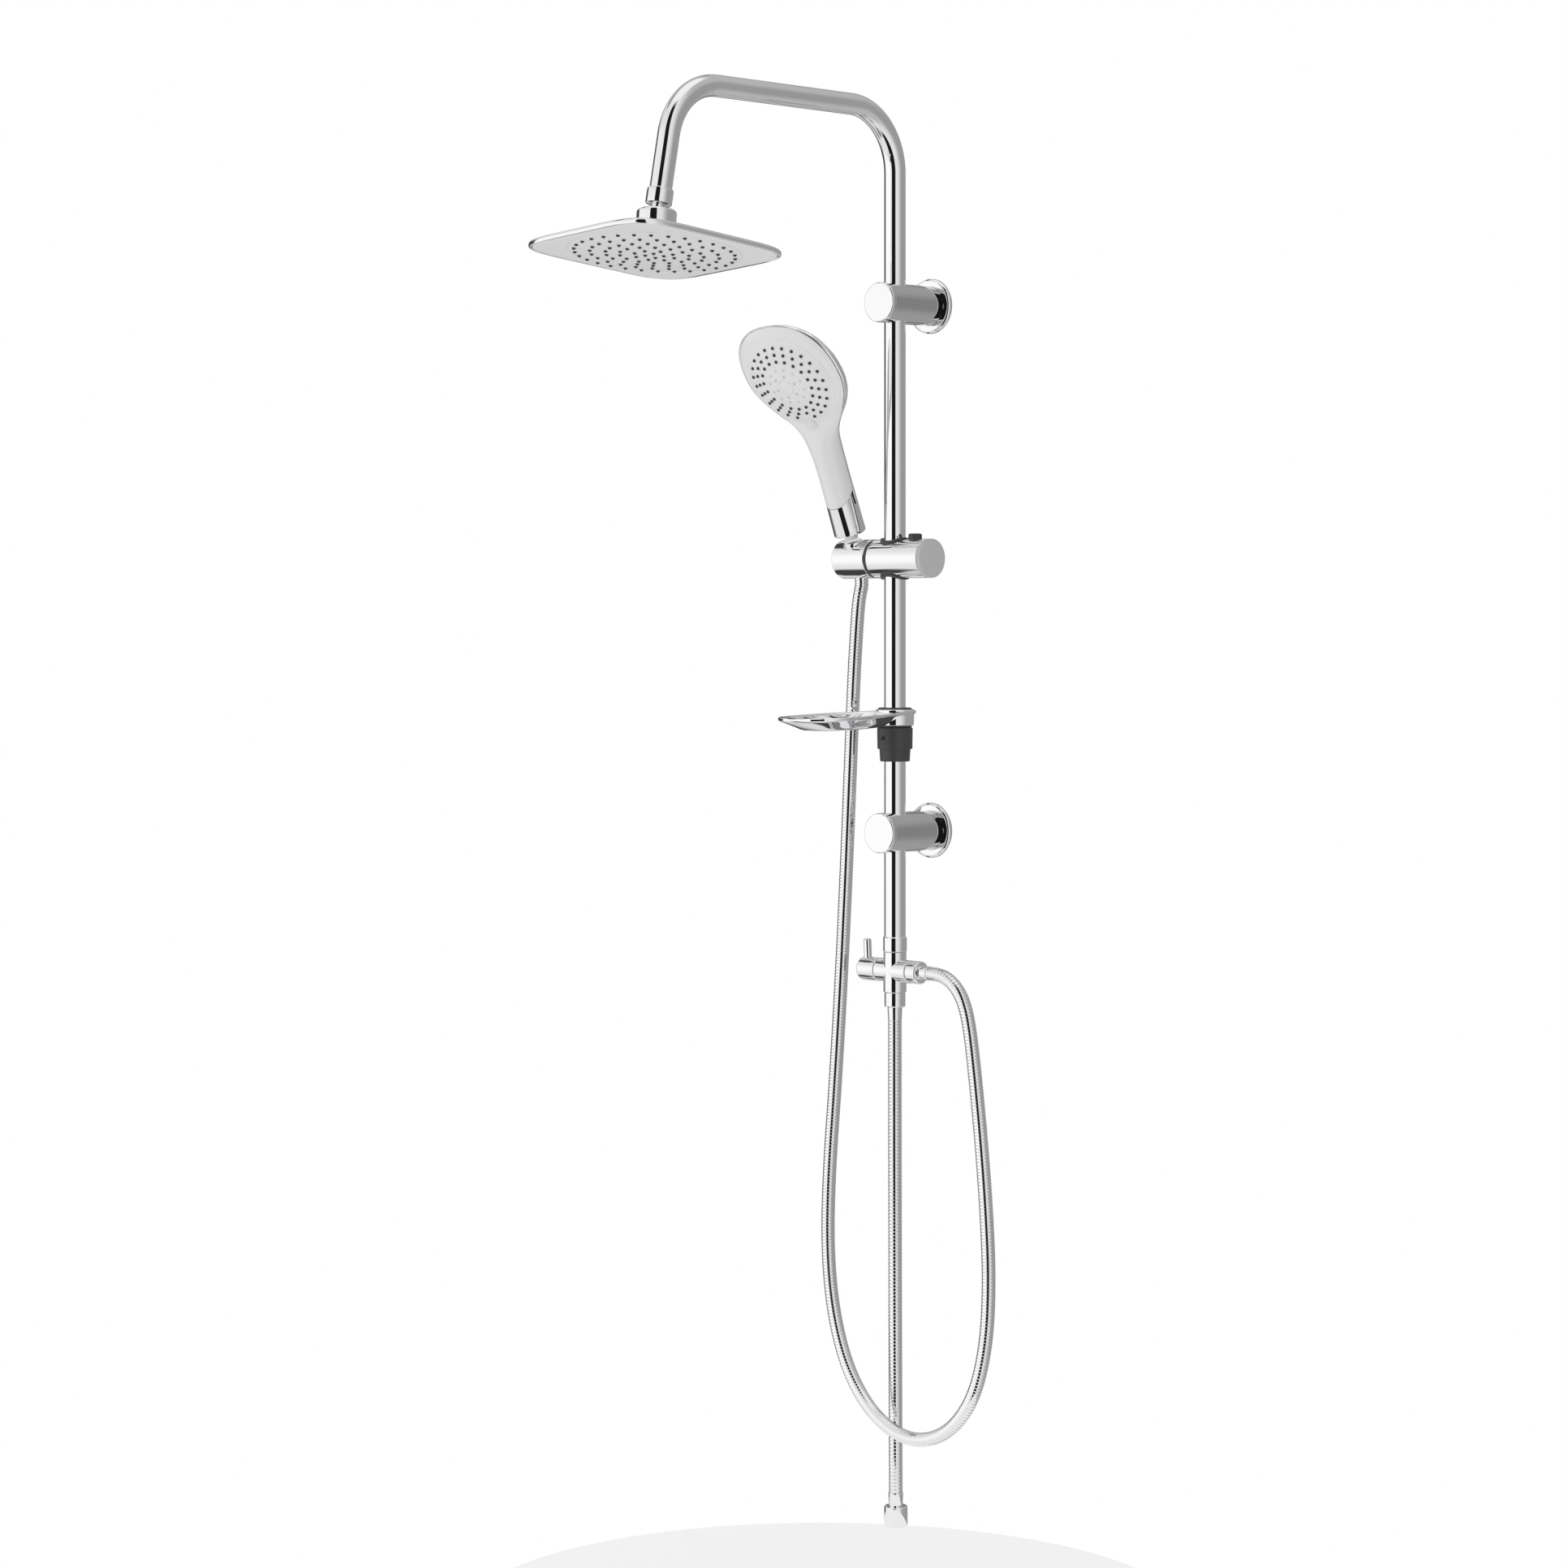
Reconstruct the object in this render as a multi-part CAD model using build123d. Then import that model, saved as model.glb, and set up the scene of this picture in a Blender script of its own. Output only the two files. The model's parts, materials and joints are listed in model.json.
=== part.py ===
"""Rainfall shower column: wall brackets, bent riser, overhead rose, slider, hand shower, dish and diverter.

Frame: origin at the centre of the upper bracket's wall face, +Y into the wall, +Z up, +X right.
"""
from build123d import *
import math
import os

os.makedirs("parts", exist_ok=True)

# ---- riser and arm ----
COLUMN_Y = -57.0          # riser axis in front of the wall
TUBE_R = 11.0
TUBE_WALL = 1.2
TUBE_FOOT_Z = -661.0
BEND_R = 66.0
ARM_Z = 199.0
ARM_REACH = 260.0         # straight end of the arm, in front of the riser
NOSE_TURN = 78.7          # degrees that the nose of the arm turns down
LEG_TUBE = 62.0           # straight leg after the nose bend
ARM_NUT_R = 13.0
ARM_NUT_LENGTH = 16.0
ARM_NUT_START = 55.0      # along the leg

# ---- overhead rose ----
BALL_ALONG_LEG = 84.0
BALL_R = 9.0
HEAD_TILT_X = -7.3
HEAD_TILT_Y = -3.3
HEAD_TURN_Z = -5.0
HEAD_HALF = 98.0
HEAD_SIDE_R = 600.0
HEAD_CORNER_R = 24.0
COLLAR_R = 19.4
COLLAR_TOP = 8.0
COLLAR_FOOT = -12.0
SEAT_R = 13.8             # clears the collar's bore when the seat is swung
SEAT_THICK = 1.5
RIM_TOP = -29.0
RIM_FOOT = -34.0
SHELL_WALL = 1.2
SEAM_R = 84.0
NOZZLE_RINGS = ((78.0, 30), (62.5, 24), (47.5, 19), (34.0, 14), (20.0, 8), (9.0, 4))

# ---- wall brackets ----
BRACKET_SPACING = 543.0
BARREL_R = 20.5
BARREL_FRONT = 25.0       # cap face in front of the riser axis
CAP_THICK = 4.0
ROSE_R = 28.5
ROSE_THICK = 6.0
WALL_PLATE_R = 15.8
WALL_SCREW_PITCH = 18.0
WALL_SCREW_R = 2.3

# ---- slider and hand shower holder ----
SLIDER_Z = -262.0
SLIDER_R = 20.0
SLIDER_LEFT = -23.0
SLIDER_RIGHT = 46.5
END_CAP_THICK = 5.0
LINER_R = 15.0
BUTTON_X = 28.0
BUTTON_R = 7.0
HOLDER_RIGHT = -27.2
HOLDER_LEFT = -71.5
SOCKET_X = -50.0
SOCKET_Y = -3.0           # socket axis in front of the riser axis
HAND_TILT = 21.8
HAND_TURN = 5.0

# ---- hand shower, along its handle from the level of the slider axis ----
NUT_FOOT = -6.0
NUT_TOP = 20.0
NUT_FOOT_R = 9.4
NUT_TOP_R = 11.4
SLEEVE_TOP = 60.0
HAND_APEX = (0.0, -37.4, 201.3)
FACE_TILT = 15.7          # face leans this much more than the handle
HAND_HEAD_R = 61.5
HAND_DOME_R = 126.0
HAND_RIM_DEPTH = 17.0
HAND_BACK_DEPTH = 31.0
HAND_WALL = 2.2
SELECTOR_R = 51.0
HAND_RINGS = ((43.0, 24), (36.0, 21), (29.0, 18), (20.0, 12), (12.0, 6))

# ---- soap dish ----
DISH_RIM_Z = -418.0
DISH_DEPTH = 14.0
DISH_HALF_X = 45.0
DISH_HALF_Y = 77.0
DISH_CENTRE_Y = -78.0     # in front of the riser axis
DISH_BOSS_R = 20.0
DISH_TAIL_R = 24.0        # round tail of the tray, centred on the riser
DISH_BUSH_R = 17.5

# ---- diverter ----
DIVERTER_Z = -685.0
CROSS_R = 11.8
OUTLET_SEAM_X = 22.7
OUTLET_NUT_END = 37.0
OUTLET_END = 48.0
KNOB_SEAM_X = -20.0
KNOB_END_X = -44.5
LEVER_X = -37.0
SUPPLY_NUT_TOP = -707.0
SUPPLY_NUT_FOOT = -722.0
SUPPLY_END = -736.0

# ---- hoses ----
HOSE_R = 7.0
RUN_SHARE = 0.45
SUPPLY_ROUTE = (
    (0, 0, -736), (0, 0, -850), (-0.8, 1.2, -980), (-2.4, 3.4, -1110), (-4.6, 6.4, -1222),
)
SHOWER_ROUTE = (
    (48, 0, -685), (61, 0, -685), (75, 0, -690), (87, -0.5, -699.5), (95.5, -1, -712),
    (103, -2, -732), (111, -4, -770), (123.5, -8, -838), (134.5, -12, -910), (142.5, -16, -985),
    (141.5, -20, -1052), (127, -24, -1108), (93, -27, -1146), (46, -28.5, -1158),
    (-4, -27, -1140), (-44, -23, -1100), (-69.5, -18, -1045), (-83, -13, -980),
    (-85.5, -8, -900), (-80.5, -4, -810), (-75, -1, -705), (-69.5, 1, -590),
    (-64, 1.5, -480), (-58.5, 1, -385), (-54, 0.8, -330), (-51, 0.8, -302),
)
SUPPLY_NUT_LENGTH = 35.0
THREAD_R = 9.3            # G 1/2 female thread, at its crests

MIN = (Align.CENTER, Align.CENTER, Align.MIN)
nodes = {}


def column(x, y, z):
    """Point given from the riser axis, moved to the part's frame."""
    return Vector(x, y + COLUMN_Y, z)


def rod(radius, start, direction, length):
    """Solid cylinder from a start point along a direction."""
    return Plane(origin=start, z_dir=direction) * Cylinder(radius, length, align=MIN)


def pipe(outer, inner, start, direction, length):
    """Straight tube from a start point along a direction."""
    reach = Vector(*direction).normalized()
    return rod(outer, start, direction, length) - rod(inner, start - reach, direction, length + 2)


def turned(points, plane=Plane.XY):
    """Solid of revolution about the plane's normal, from (radius, height) points."""
    return plane * revolve(make_face(Plane.XZ * Polyline(*points, close=True)), Axis.Z)


# ---------------------------------------------------------------- riser tube
def leg_point(along):
    """Point on the leg of the arm, measured from the end of the nose bend."""
    turn = math.radians(NOSE_TURN)
    y = -ARM_REACH - BEND_R * math.sin(turn) - along * math.cos(turn)
    z = ARM_Z - BEND_R + BEND_R * math.cos(turn) - along * math.sin(turn)
    return column(0, y, z)


LEG_WAY = (leg_point(1) - leg_point(0)).normalized()


def riser_line():
    """Riser upwards, top bend, arm forwards, nose bend, leg."""
    corner_top = column(0, 0, ARM_Z)
    setback = BEND_R * math.tan(math.radians(NOSE_TURN) / 2)
    corner_nose = column(0, -ARM_REACH - setback, ARM_Z)
    points = [column(0, 0, TUBE_FOOT_Z), corner_top, corner_nose, leg_point(LEG_TUBE)]
    return FilletPolyline(*points, radius=BEND_R)


def swept_rod(line, radius):
    """Round bar swept along a line."""
    start = Plane(origin=line @ 0, z_dir=line % 0)
    return sweep(start * Circle(radius), path=line)


riser = riser_line()
nodes["riser_tube"] = swept_rod(riser, TUBE_R) - swept_rod(riser, TUBE_R - TUBE_WALL)

nut_start = leg_point(ARM_NUT_START)
arm_nut = rod(ARM_NUT_R, nut_start, LEG_WAY, ARM_NUT_LENGTH)
arm_nut -= rod(TUBE_R, nut_start - LEG_WAY, LEG_WAY, LEG_TUBE - ARM_NUT_START + 1)
arm_nut -= rod(7.0, nut_start, LEG_WAY, ARM_NUT_LENGTH + 1)
nodes["arm_nut"] = chamfer(arm_nut.edges().filter_by(GeomType.CIRCLE).sort_by(Axis.Z)[-1], 0.8)

ball_centre = leg_point(BALL_ALONG_LEG)
neck_start = leg_point(LEG_TUBE + 0.1)
neck_length = BALL_ALONG_LEG - LEG_TUBE
nipple = rod(6.9, neck_start, LEG_WAY, neck_length) + Pos(*ball_centre) * Sphere(BALL_R)
nodes["ball_nipple"] = nipple - rod(4.0, neck_start - LEG_WAY, LEG_WAY, neck_length + 15)

# ---------------------------------------------------------------- overhead rose
head_frame = Plane(Location(tuple(ball_centre), (HEAD_TILT_X, HEAD_TILT_Y, HEAD_TURN_Z)))


def bowed_square(half, side_r, corner_r, height):
    """Closed outline of four bowed sides and four tangent corner arcs."""
    lean = math.asin((half - side_r) / (math.sqrt(2) * (side_r - corner_r)))
    beta = math.radians(45) + lean
    joint = (side_r * math.sin(beta), half - side_r + side_r * math.cos(beta))
    middle = (side_r - corner_r) * math.sin(beta)
    diagonal = middle + corner_r / math.sqrt(2)
    edges = []
    for quarter in range(4):
        spin = Rot(0, 0, -90 * quarter)
        side = ThreePointArc((-joint[0], joint[1]), (0, half), joint)
        corner = ThreePointArc(joint, (diagonal, diagonal), (joint[1], joint[0]))
        edges += [spin * side, spin * corner]
    return Pos(0, 0, height) * make_face(edges)


def dome_sections(inset):
    """Outlines from the rim to the collar, each (half width, side radius, corner radius, height)."""
    table = (
        (98.0, 600.0, 24.0, RIM_TOP), (95.5, 560.0, 24.0, RIM_TOP + 1.8), (78.0, 320.0, 28.0, -24.0),
        (56.0, 140.0, 30.0, -20.3), (36.0, 55.0, 27.0, -16.5), (24.0, 28.0, 19.0, COLLAR_FOOT - 1.5),
    )
    return [
        bowed_square(half - inset, side - inset, corner - inset * 0.5, height - inset * 0.8)
        for half, side, corner, height in table
    ]


def head_solid(inset, foot):
    """Rim block with the domed loft on it."""
    rim = extrude(
        bowed_square(HEAD_HALF - inset, HEAD_SIDE_R - inset, HEAD_CORNER_R - inset * 0.5, foot),
        amount=RIM_TOP - inset * 0.8 - foot,
    )
    return rim + loft(dome_sections(inset), ruled=True)


shell = head_solid(0, RIM_FOOT) - head_solid(SHELL_WALL, RIM_FOOT - 1)
shell -= Cylinder(COLLAR_R - 3.0, 60)
nodes["head_shell"] = head_frame * shell

collar = turned(
    [
        (12.6, COLLAR_TOP), (COLLAR_R - 2, COLLAR_TOP), (COLLAR_R, COLLAR_TOP - 2),
        (COLLAR_R, COLLAR_FOOT - 1.5), (COLLAR_R - 3.2, COLLAR_FOOT - 1.5), (COLLAR_R - 3.2, -20),
        (11.0, -20), (11.0, -12.2), (15.0, -12.2), (15.0, 4.8), (12.6, 4.8),
    ]
)
nodes["head_collar"] = head_frame * collar
seat = Pos(0, 0, 0.6) * Cylinder(SEAT_R, SEAT_THICK, align=MIN) - Sphere(BALL_R + 0.3)
nodes["ball_seat"] = head_frame * seat
seal = Pos(0, 0, -9.5) * Cylinder(14.7, 6.5, align=MIN) - Sphere(BALL_R + 0.3) - Cylinder(6.0, 60)
nodes["ball_seal"] = head_frame * seal

plate_frame = head_frame * Pos(0, 0, RIM_FOOT)
plate = extrude(bowed_square(HEAD_HALF - 1.6, HEAD_SIDE_R - 1.6, HEAD_CORNER_R - 1.4, -1.6), amount=4.2)
plate -= Pos(0, 0, -1.6) * (Cylinder(SEAM_R + 0.3, 0.5, align=MIN) - Cylinder(SEAM_R - 0.3, 0.5, align=MIN))
mat = Pos(0, 0, 2.8) * Cylinder(82.0, 1.6, align=MIN)
for ring_r, count in NOZZLE_RINGS:
    for turn in range(count):
        spot = Rot(0, 0, 360 * (turn + 0.5) / count) * Pos(ring_r, 0, 0)
        plate -= spot * Cylinder(2.3, 10)
        mat += spot * Pos(0, 0, -3.4) * Cone(1.5, 2.1, 6.4, align=MIN)
nodes["head_spray_plate"] = plate_frame * plate
nodes["head_nozzle_mat"] = plate_frame * mat

# ---------------------------------------------------------------- wall brackets
INTO_WALL = (0, 1, 0)


def bracket(name, height):
    """One bracket: barrel across the riser, front cap, rose at the wall, wall plate, grub screw."""
    front = COLUMN_Y - BARREL_FRONT
    tube_hole = rod(TUBE_R + 0.05, (0, COLUMN_Y, height - 40), (0, 0, 1), 80)
    barrel_start = front + CAP_THICK
    barrel = rod(BARREL_R, (0, barrel_start, height), INTO_WALL, -0.5 - barrel_start)
    barrel -= rod(WALL_PLATE_R + 0.3, (0, COLUMN_Y + 17, height), INTO_WALL, 60)
    barrel -= rod(14.0, (0, barrel_start - 1, height), INTO_WALL, 7.0)
    barrel -= tube_hole
    grub_y = -12.0
    grub_hole = rod(2.1, (0, grub_y, height - 25), (0, 0, 1), 12)
    nodes[name + "_barrel"] = barrel - grub_hole
    cap = rod(BARREL_R, (0, front, height), INTO_WALL, CAP_THICK - 0.5)
    cap = chamfer(cap.edges().sort_by(Axis.Y)[0], 0.8)
    cap += rod(13.9, (0, front + 2, height), INTO_WALL, 6.5)
    nodes[name + "_cap"] = cap
    rose = rod(ROSE_R, (0, -ROSE_THICK, height), INTO_WALL, ROSE_THICK)
    rose = fillet(rose.edges().sort_by(Axis.Y)[0], 2.0)
    nodes[name + "_rose"] = rose - rod(BARREL_R + 0.1, (0, -20, height), INTO_WALL, 40)
    wall_plate = rod(WALL_PLATE_R, (0, -18, height), INTO_WALL, 18)
    for side in (-1, 1):
        wall_plate -= rod(WALL_SCREW_R, (side * WALL_SCREW_PITCH / 2, -40, height), INTO_WALL, 60)
        wall_plate -= rod(4.4, (side * WALL_SCREW_PITCH / 2, -30, height), INTO_WALL, 24)
    dimple = rod(2.05, (0, grub_y, height - 25), (0, 0, 1), 12)
    nodes[name + "_wall_plate"] = wall_plate - dimple
    grub = rod(2.0, (0, grub_y, height - BARREL_R + 0.6), (0, 0, 1), 6.8)
    socket = Plane(origin=(0, grub_y, height - BARREL_R)) * extrude(RegularPolygon(1.2, 6), 2.6)
    nodes[name + "_grub_screw"] = grub - socket


bracket("upper_bracket", 0.0)
bracket("lower_bracket", -BRACKET_SPACING)

# ---------------------------------------------------------------- slider
slider_centre = column(0, 0, SLIDER_Z)
tube_clear = rod(TUBE_R + 0.05, column(0, 0, SLIDER_Z - 60), (0, 0, 1), 120)
slider = rod(SLIDER_R, column(SLIDER_LEFT, 0, SLIDER_Z), (1, 0, 0), SLIDER_RIGHT - SLIDER_LEFT)
slider -= rod(LINER_R, column(0, 0, SLIDER_Z - 60), (0, 0, 1), 120)
slider -= rod(BUTTON_R + 0.3, column(BUTTON_X, 0, SLIDER_Z + 2), (0, 0, 1), 40)
slider -= rod(12.0, column(SLIDER_RIGHT - 5, 0, SLIDER_Z), (1, 0, 0), 10)
slider -= rod(4.1, column(SLIDER_LEFT - 1, 0, SLIDER_Z), (1, 0, 0), 10.0)
nodes["slider_body"] = slider

liner = rod(LINER_R, column(0, 0, SLIDER_Z - 60), (0, 0, 1), 120) - tube_clear
liner &= rod(SLIDER_R + 1.6, column(-40, 0, SLIDER_Z), (1, 0, 0), 80)
nodes["slider_liner"] = liner

end_cap = rod(SLIDER_R, column(SLIDER_RIGHT + 0.1, 0, SLIDER_Z), (1, 0, 0), END_CAP_THICK - 0.1)
end_cap = chamfer(end_cap.edges().sort_by(Axis.X)[-1], 0.6)
nodes["slider_end_cap"] = end_cap + rod(11.9, column(SLIDER_RIGHT - 4.5, 0, SLIDER_Z), (1, 0, 0), 6)

button = rod(BUTTON_R, column(BUTTON_X, 0, SLIDER_Z + 13), (0, 0, 1), 12.6)
button = fillet(button.edges().sort_by(Axis.Z)[-1], 0.8)
nodes["slider_button"] = button
spring = pipe(5.2, 4.2, column(BUTTON_X, 0, SLIDER_Z + 2), (0, 0, 1), 11.0)
nodes["button_spring"] = spring
pin_foot = column(16.5, -9.0, SLIDER_Z + 12.0)
nodes["slider_lock_pin"] = rod(1.3, pin_foot, (0, 0, 1), 11.3)
nodes["slider_body"] -= rod(1.32, pin_foot, (0, 0, 1), 14)

seam_ring = pipe(SLIDER_R, 4.1, column(-26.7, 0, SLIDER_Z), (1, 0, 0), 3.6)
nodes["seam_ring"] = seam_ring

# ---------------------------------------------------------------- holder
hand_origin = column(SOCKET_X, SOCKET_Y, SLIDER_Z)
socket_frame = Plane(hand_origin) * Rot(HAND_TILT, 0, 0)
taper = (NUT_TOP_R - NUT_FOOT_R) / (NUT_TOP - NUT_FOOT)


def socket_cone(gap, foot, top):
    """Cone on the socket axis, wider than the hose nut by the gap."""
    foot_r = NUT_FOOT_R + taper * (foot - NUT_FOOT) + gap
    top_r = NUT_FOOT_R + taper * (top - NUT_FOOT) + gap
    return socket_frame * Pos(0, 0, foot) * Cone(foot_r, top_r, top - foot, align=MIN)


holder = rod(SLIDER_R, column(HOLDER_LEFT, 0, SLIDER_Z), (1, 0, 0), HOLDER_RIGHT - HOLDER_LEFT)
holder = chamfer(holder.edges().sort_by(Axis.X)[0], 0.8)
slot_way = socket_frame * Pos(0, 20, 0) * Box(16.4, 40, 90)
liner_outer = socket_cone(1.6, -40, 40)
liner_bore = socket_cone(0.15, -40, 40) + socket_frame * Pos(0, 0, -30) * Cylinder(9.3, 60)
holder -= rod(4.2, column(-40, 0, SLIDER_Z), (1, 0, 0), 20)
nodes["holder_barrel"] = holder - liner_outer - slot_way
holder_liner = liner_outer - liner_bore - socket_frame * Pos(0, 20, 0) * Box(15.0, 40, 90)
nodes["holder_liner"] = holder_liner & rod(SLIDER_R + 0.6, column(-80, 0, SLIDER_Z), (1, 0, 0), 60)
nodes["holder_pivot"] = rod(4.0, column(-36.5, 0, SLIDER_Z), (1, 0, 0), 20.0)

# ---------------------------------------------------------------- hand shower
hand_frame = socket_frame * Rot(0, 0, HAND_TURN)


def egg(width, depth, y, z, lean=0.0):
    """Elliptical section of the handle: half width, half depth, centre and lean."""
    return Pos(0, y, z) * Rot(lean, 0, 0) * Ellipse(width, depth)


def face_turned(points):
    """Solid of revolution about the face axis; heights run backwards from the apex of the face."""
    flipped = [(radius, -depth) for radius, depth in points]
    return Pos(*HAND_APEX) * Rot(90 + FACE_TILT, 0, 0) * turned(flipped)


def dome_depth(radius):
    """Depth of the convex face behind its apex."""
    return HAND_DOME_R - math.sqrt(HAND_DOME_R ** 2 - radius ** 2)


def hand_solid(inset, foot):
    """Handle loft joined to the lens-shaped head, all drawn in by the inset."""
    sections = [
        egg(16.5 - inset, 17.0 - inset, 0, foot), egg(15.5 - inset, 16.5 - inset, 0, 70),
        egg(16.0 - inset, 15.5 - inset, -1.5, 120), egg(20.0 - inset, 14.0 - inset, -7, 152, 10),
        egg(32.0 - inset, 10.0 - inset, -17, 180, FACE_TILT),
    ]
    handle = loft(sections)
    front = [(step * 0.1 * (HAND_HEAD_R - 3.5), 0) for step in range(11)]
    points = [(radius, dome_depth(radius) + inset) for radius, _ in front]
    edge = HAND_HEAD_R - inset
    back = HAND_BACK_DEPTH - inset
    points += [(edge, HAND_RIM_DEPTH), (edge - 2, HAND_RIM_DEPTH + 4), (edge - 16, back - 3.5)]
    points += [(edge - 34, back), (0, back)]
    points = [(min(radius, edge), depth) for radius, depth in points]
    return handle + face_turned(points)


outer = hand_solid(0.0, NUT_TOP)
inner = hand_solid(HAND_WALL, NUT_TOP - 1)
rim_frame = Pos(*HAND_APEX) * Rot(90 + FACE_TILT, 0, 0) * Pos(0, 0, -HAND_RIM_DEPTH)
front_half = rim_frame * Pos(0, 0, 150) * Box(600, 600, 300)
handle_front = Pos(0, -298.0, 0) * Box(300, 600, 900)
slant = Pos(0, 0, SLEEVE_TOP) * Rot(24, 0, 0) * Pos(0, 0, 300) * Box(300, 300, 600)
front_zone = front_half & handle_front & slant
wall = outer - inner
face_hole = Pos(*HAND_APEX) * Rot(90 + FACE_TILT, 0, 0) * Cylinder(SELECTOR_R, 32)
front_shell = (wall & front_zone) - face_hole
nodes["hand_front_shell"] = hand_frame * front_shell
back_shell = wall - front_zone - face_hole
floor_plug = Pos(0, 0, NUT_TOP) * Cylinder(15.6, 3.0, align=MIN) & outer
nodes["hand_back_shell"] = hand_frame * (back_shell + floor_plug - Cylinder(6.0, 100))

waterway = Pos(0, 0, NUT_TOP + 3.1) * (Cylinder(7, 104, align=MIN) - Cylinder(5, 104, align=MIN))
nodes["hand_waterway"] = hand_frame * waterway


def face_piece(inner_r, outer_r, thick, extra=0.0):
    """Ring or disc following the convex face, with its front face proud by the extra."""
    steps = [inner_r + (outer_r - inner_r) * step / 8 for step in range(9)]
    front = [(radius, dome_depth(radius) - extra) for radius in steps]
    rear = [(radius, dome_depth(radius) + thick) for radius in reversed(steps)]
    return face_turned(front + rear)


selector_plate = face_piece(8.2, 46.0, 2.6)
MAT_DEPTH = dome_depth(46.0) + 2.7
face_place = Pos(*HAND_APEX) * Rot(90 + FACE_TILT, 0, 0)
nozzles = face_place * Pos(0, 0, -MAT_DEPTH - 2.0) * Cylinder(45.0, 2.0, align=MIN)
for ring_r, count in HAND_RINGS:
    for turn in range(count):
        if ring_r == 43.0 and turn == count // 4 * 3:
            continue
        spot = Rot(0, 0, 360 * turn / count) * Pos(ring_r, 0, -dome_depth(ring_r))
        place = face_place * spot
        selector_plate -= place * Pos(0, 0, -8) * Cylinder(1.35, 16, align=MIN)
        root_depth = MAT_DEPTH - dome_depth(ring_r) + 0.3
        nozzles += place * Pos(0, 0, -root_depth) * Cylinder(1.15, root_depth + 0.7, align=MIN)
nodes["hand_spray_plate"] = hand_frame * selector_plate
nodes["hand_nozzle_mat"] = hand_frame * nozzles
nodes["hand_centre_disc"] = hand_frame * face_piece(0.0, 8.0, 3.0)

selector = face_piece(46.2, SELECTOR_R - 0.35, 3.0)
tab_profile = Polyline((-6.5, -50.0), (6.5, -50.0), (0.0, -37.5), close=True)
tab = extrude(make_face(tab_profile), amount=7.0)
tab_frame = face_place * Pos(0, 0, -dome_depth(SELECTOR_R) - 1.0)
tab_solid = tab_frame * tab - face_piece(0, 46.15, 14.0, 0.1)
nodes["hand_selector_ring"] = hand_frame * (selector + tab_solid)

cone_nut = Pos(0, 0, NUT_FOOT) * Cone(NUT_FOOT_R, NUT_TOP_R, NUT_TOP - NUT_FOOT, align=MIN)
nodes["hose_cone_nut"] = hand_frame * (cone_nut - Pos(0, 0, NUT_TOP - 8) * Cylinder(9.5, 20, align=MIN))
nodes["hose_cone_nut"] -= hand_frame * Cylinder(5.0, 100)
nodes["handle_washer"] = hand_frame * Pos(0, 0, NUT_TOP - 2.2) * (
    Cylinder(9.3, 2.1, align=MIN) - Cylinder(5.0, 20)
)

# ---------------------------------------------------------------- soap dish
tilt_frame = Plane(column(0, 0, DISH_RIM_Z)) * Rot(2.0, 0, 0)


def dish_outline(inset, height):
    """Blunt round front, bowed sides and a narrow round tail round the riser."""
    half_x = DISH_HALF_X - inset
    front = DISH_CENTRE_Y - DISH_HALF_Y + inset
    side_front = front + 40.0
    tail = DISH_TAIL_R - inset * 0.45
    neck_x = 0.96 * tail
    neck_y = -0.28 * tail
    edges = [
        ThreePointArc((-half_x, side_front), (0, front), (half_x, side_front)),
        ThreePointArc((half_x, side_front), (half_x * 0.93, -62.0), (neck_x, neck_y)),
        ThreePointArc((neck_x, neck_y), (0, tail), (-neck_x, neck_y)),
        ThreePointArc((-neck_x, neck_y), (-half_x * 0.93, -62.0), (-half_x, side_front)),
    ]
    return Pos(0, 0, height) * make_face(edges)


tray_outer = loft([dish_outline(0, 0), dish_outline(3, -6), dish_outline(11, -DISH_DEPTH)], ruled=True)
tray_inner = loft(
    [dish_outline(1.5, 1), dish_outline(4.5, -6), dish_outline(12.5, -DISH_DEPTH + 1.5)], ruled=True
)
boss = rod(DISH_BOSS_R, column(0, 0, DISH_RIM_Z - DISH_DEPTH - 1), (0, 0, 1), DISH_DEPTH + 2.4)
tray = tilt_frame * (tray_outer - tray_inner)
dish_bore = rod(DISH_BUSH_R + 0.1, column(0, 0, DISH_RIM_Z - 60), (0, 0, 1), 120)
nodes["dish_tray"] = tray + boss - dish_bore
tube_way = rod(TUBE_R + 0.06, column(0, 0, DISH_RIM_Z - 80), (0, 0, 1), 160)
bush = rod(DISH_BUSH_R, column(0, 0, DISH_RIM_Z - DISH_DEPTH - 3), (0, 0, 1), DISH_DEPTH + 6.2)
nodes["dish_bush"] = bush - tube_way
clamp = rod(18.3, column(0, 0, -457), (0, 0, 1), 21.8) + rod(15.9, column(0, 0, -470), (0, 0, 1), 13.5)
nodes["dish_clamp"] = clamp - tube_way
nodes["dish_clamp_screw"] = rod(2.0, column(0, -18.9, -446), (0, 1, 0), 7.8)
nodes["dish_clamp"] -= rod(2.02, column(0, -25, -446), (0, 1, 0), 14)

# ---------------------------------------------------------------- diverter
body = rod(11.75, column(0, 0, SUPPLY_NUT_TOP), (0, 0, 1), -665.4 - SUPPLY_NUT_TOP)
body += rod(CROSS_R, column(KNOB_SEAM_X, 0, DIVERTER_Z), (1, 0, 0), OUTLET_SEAM_X - KNOB_SEAM_X)
body -= rod(8.0, column(0, 0, SUPPLY_NUT_TOP - 1), (0, 0, 1), 60)
body -= rod(8.6, column(KNOB_SEAM_X - 1, 0, DIVERTER_Z), (1, 0, 0), 60)
nodes["diverter_body"] = body
top_nut = pipe(12.25, TUBE_R, column(0, 0, -665.2), (0, 0, 1), 15.2)
nodes["diverter_top_nut"] = chamfer(top_nut.edges().sort_by(Axis.Z)[-1], 0.8)
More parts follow.
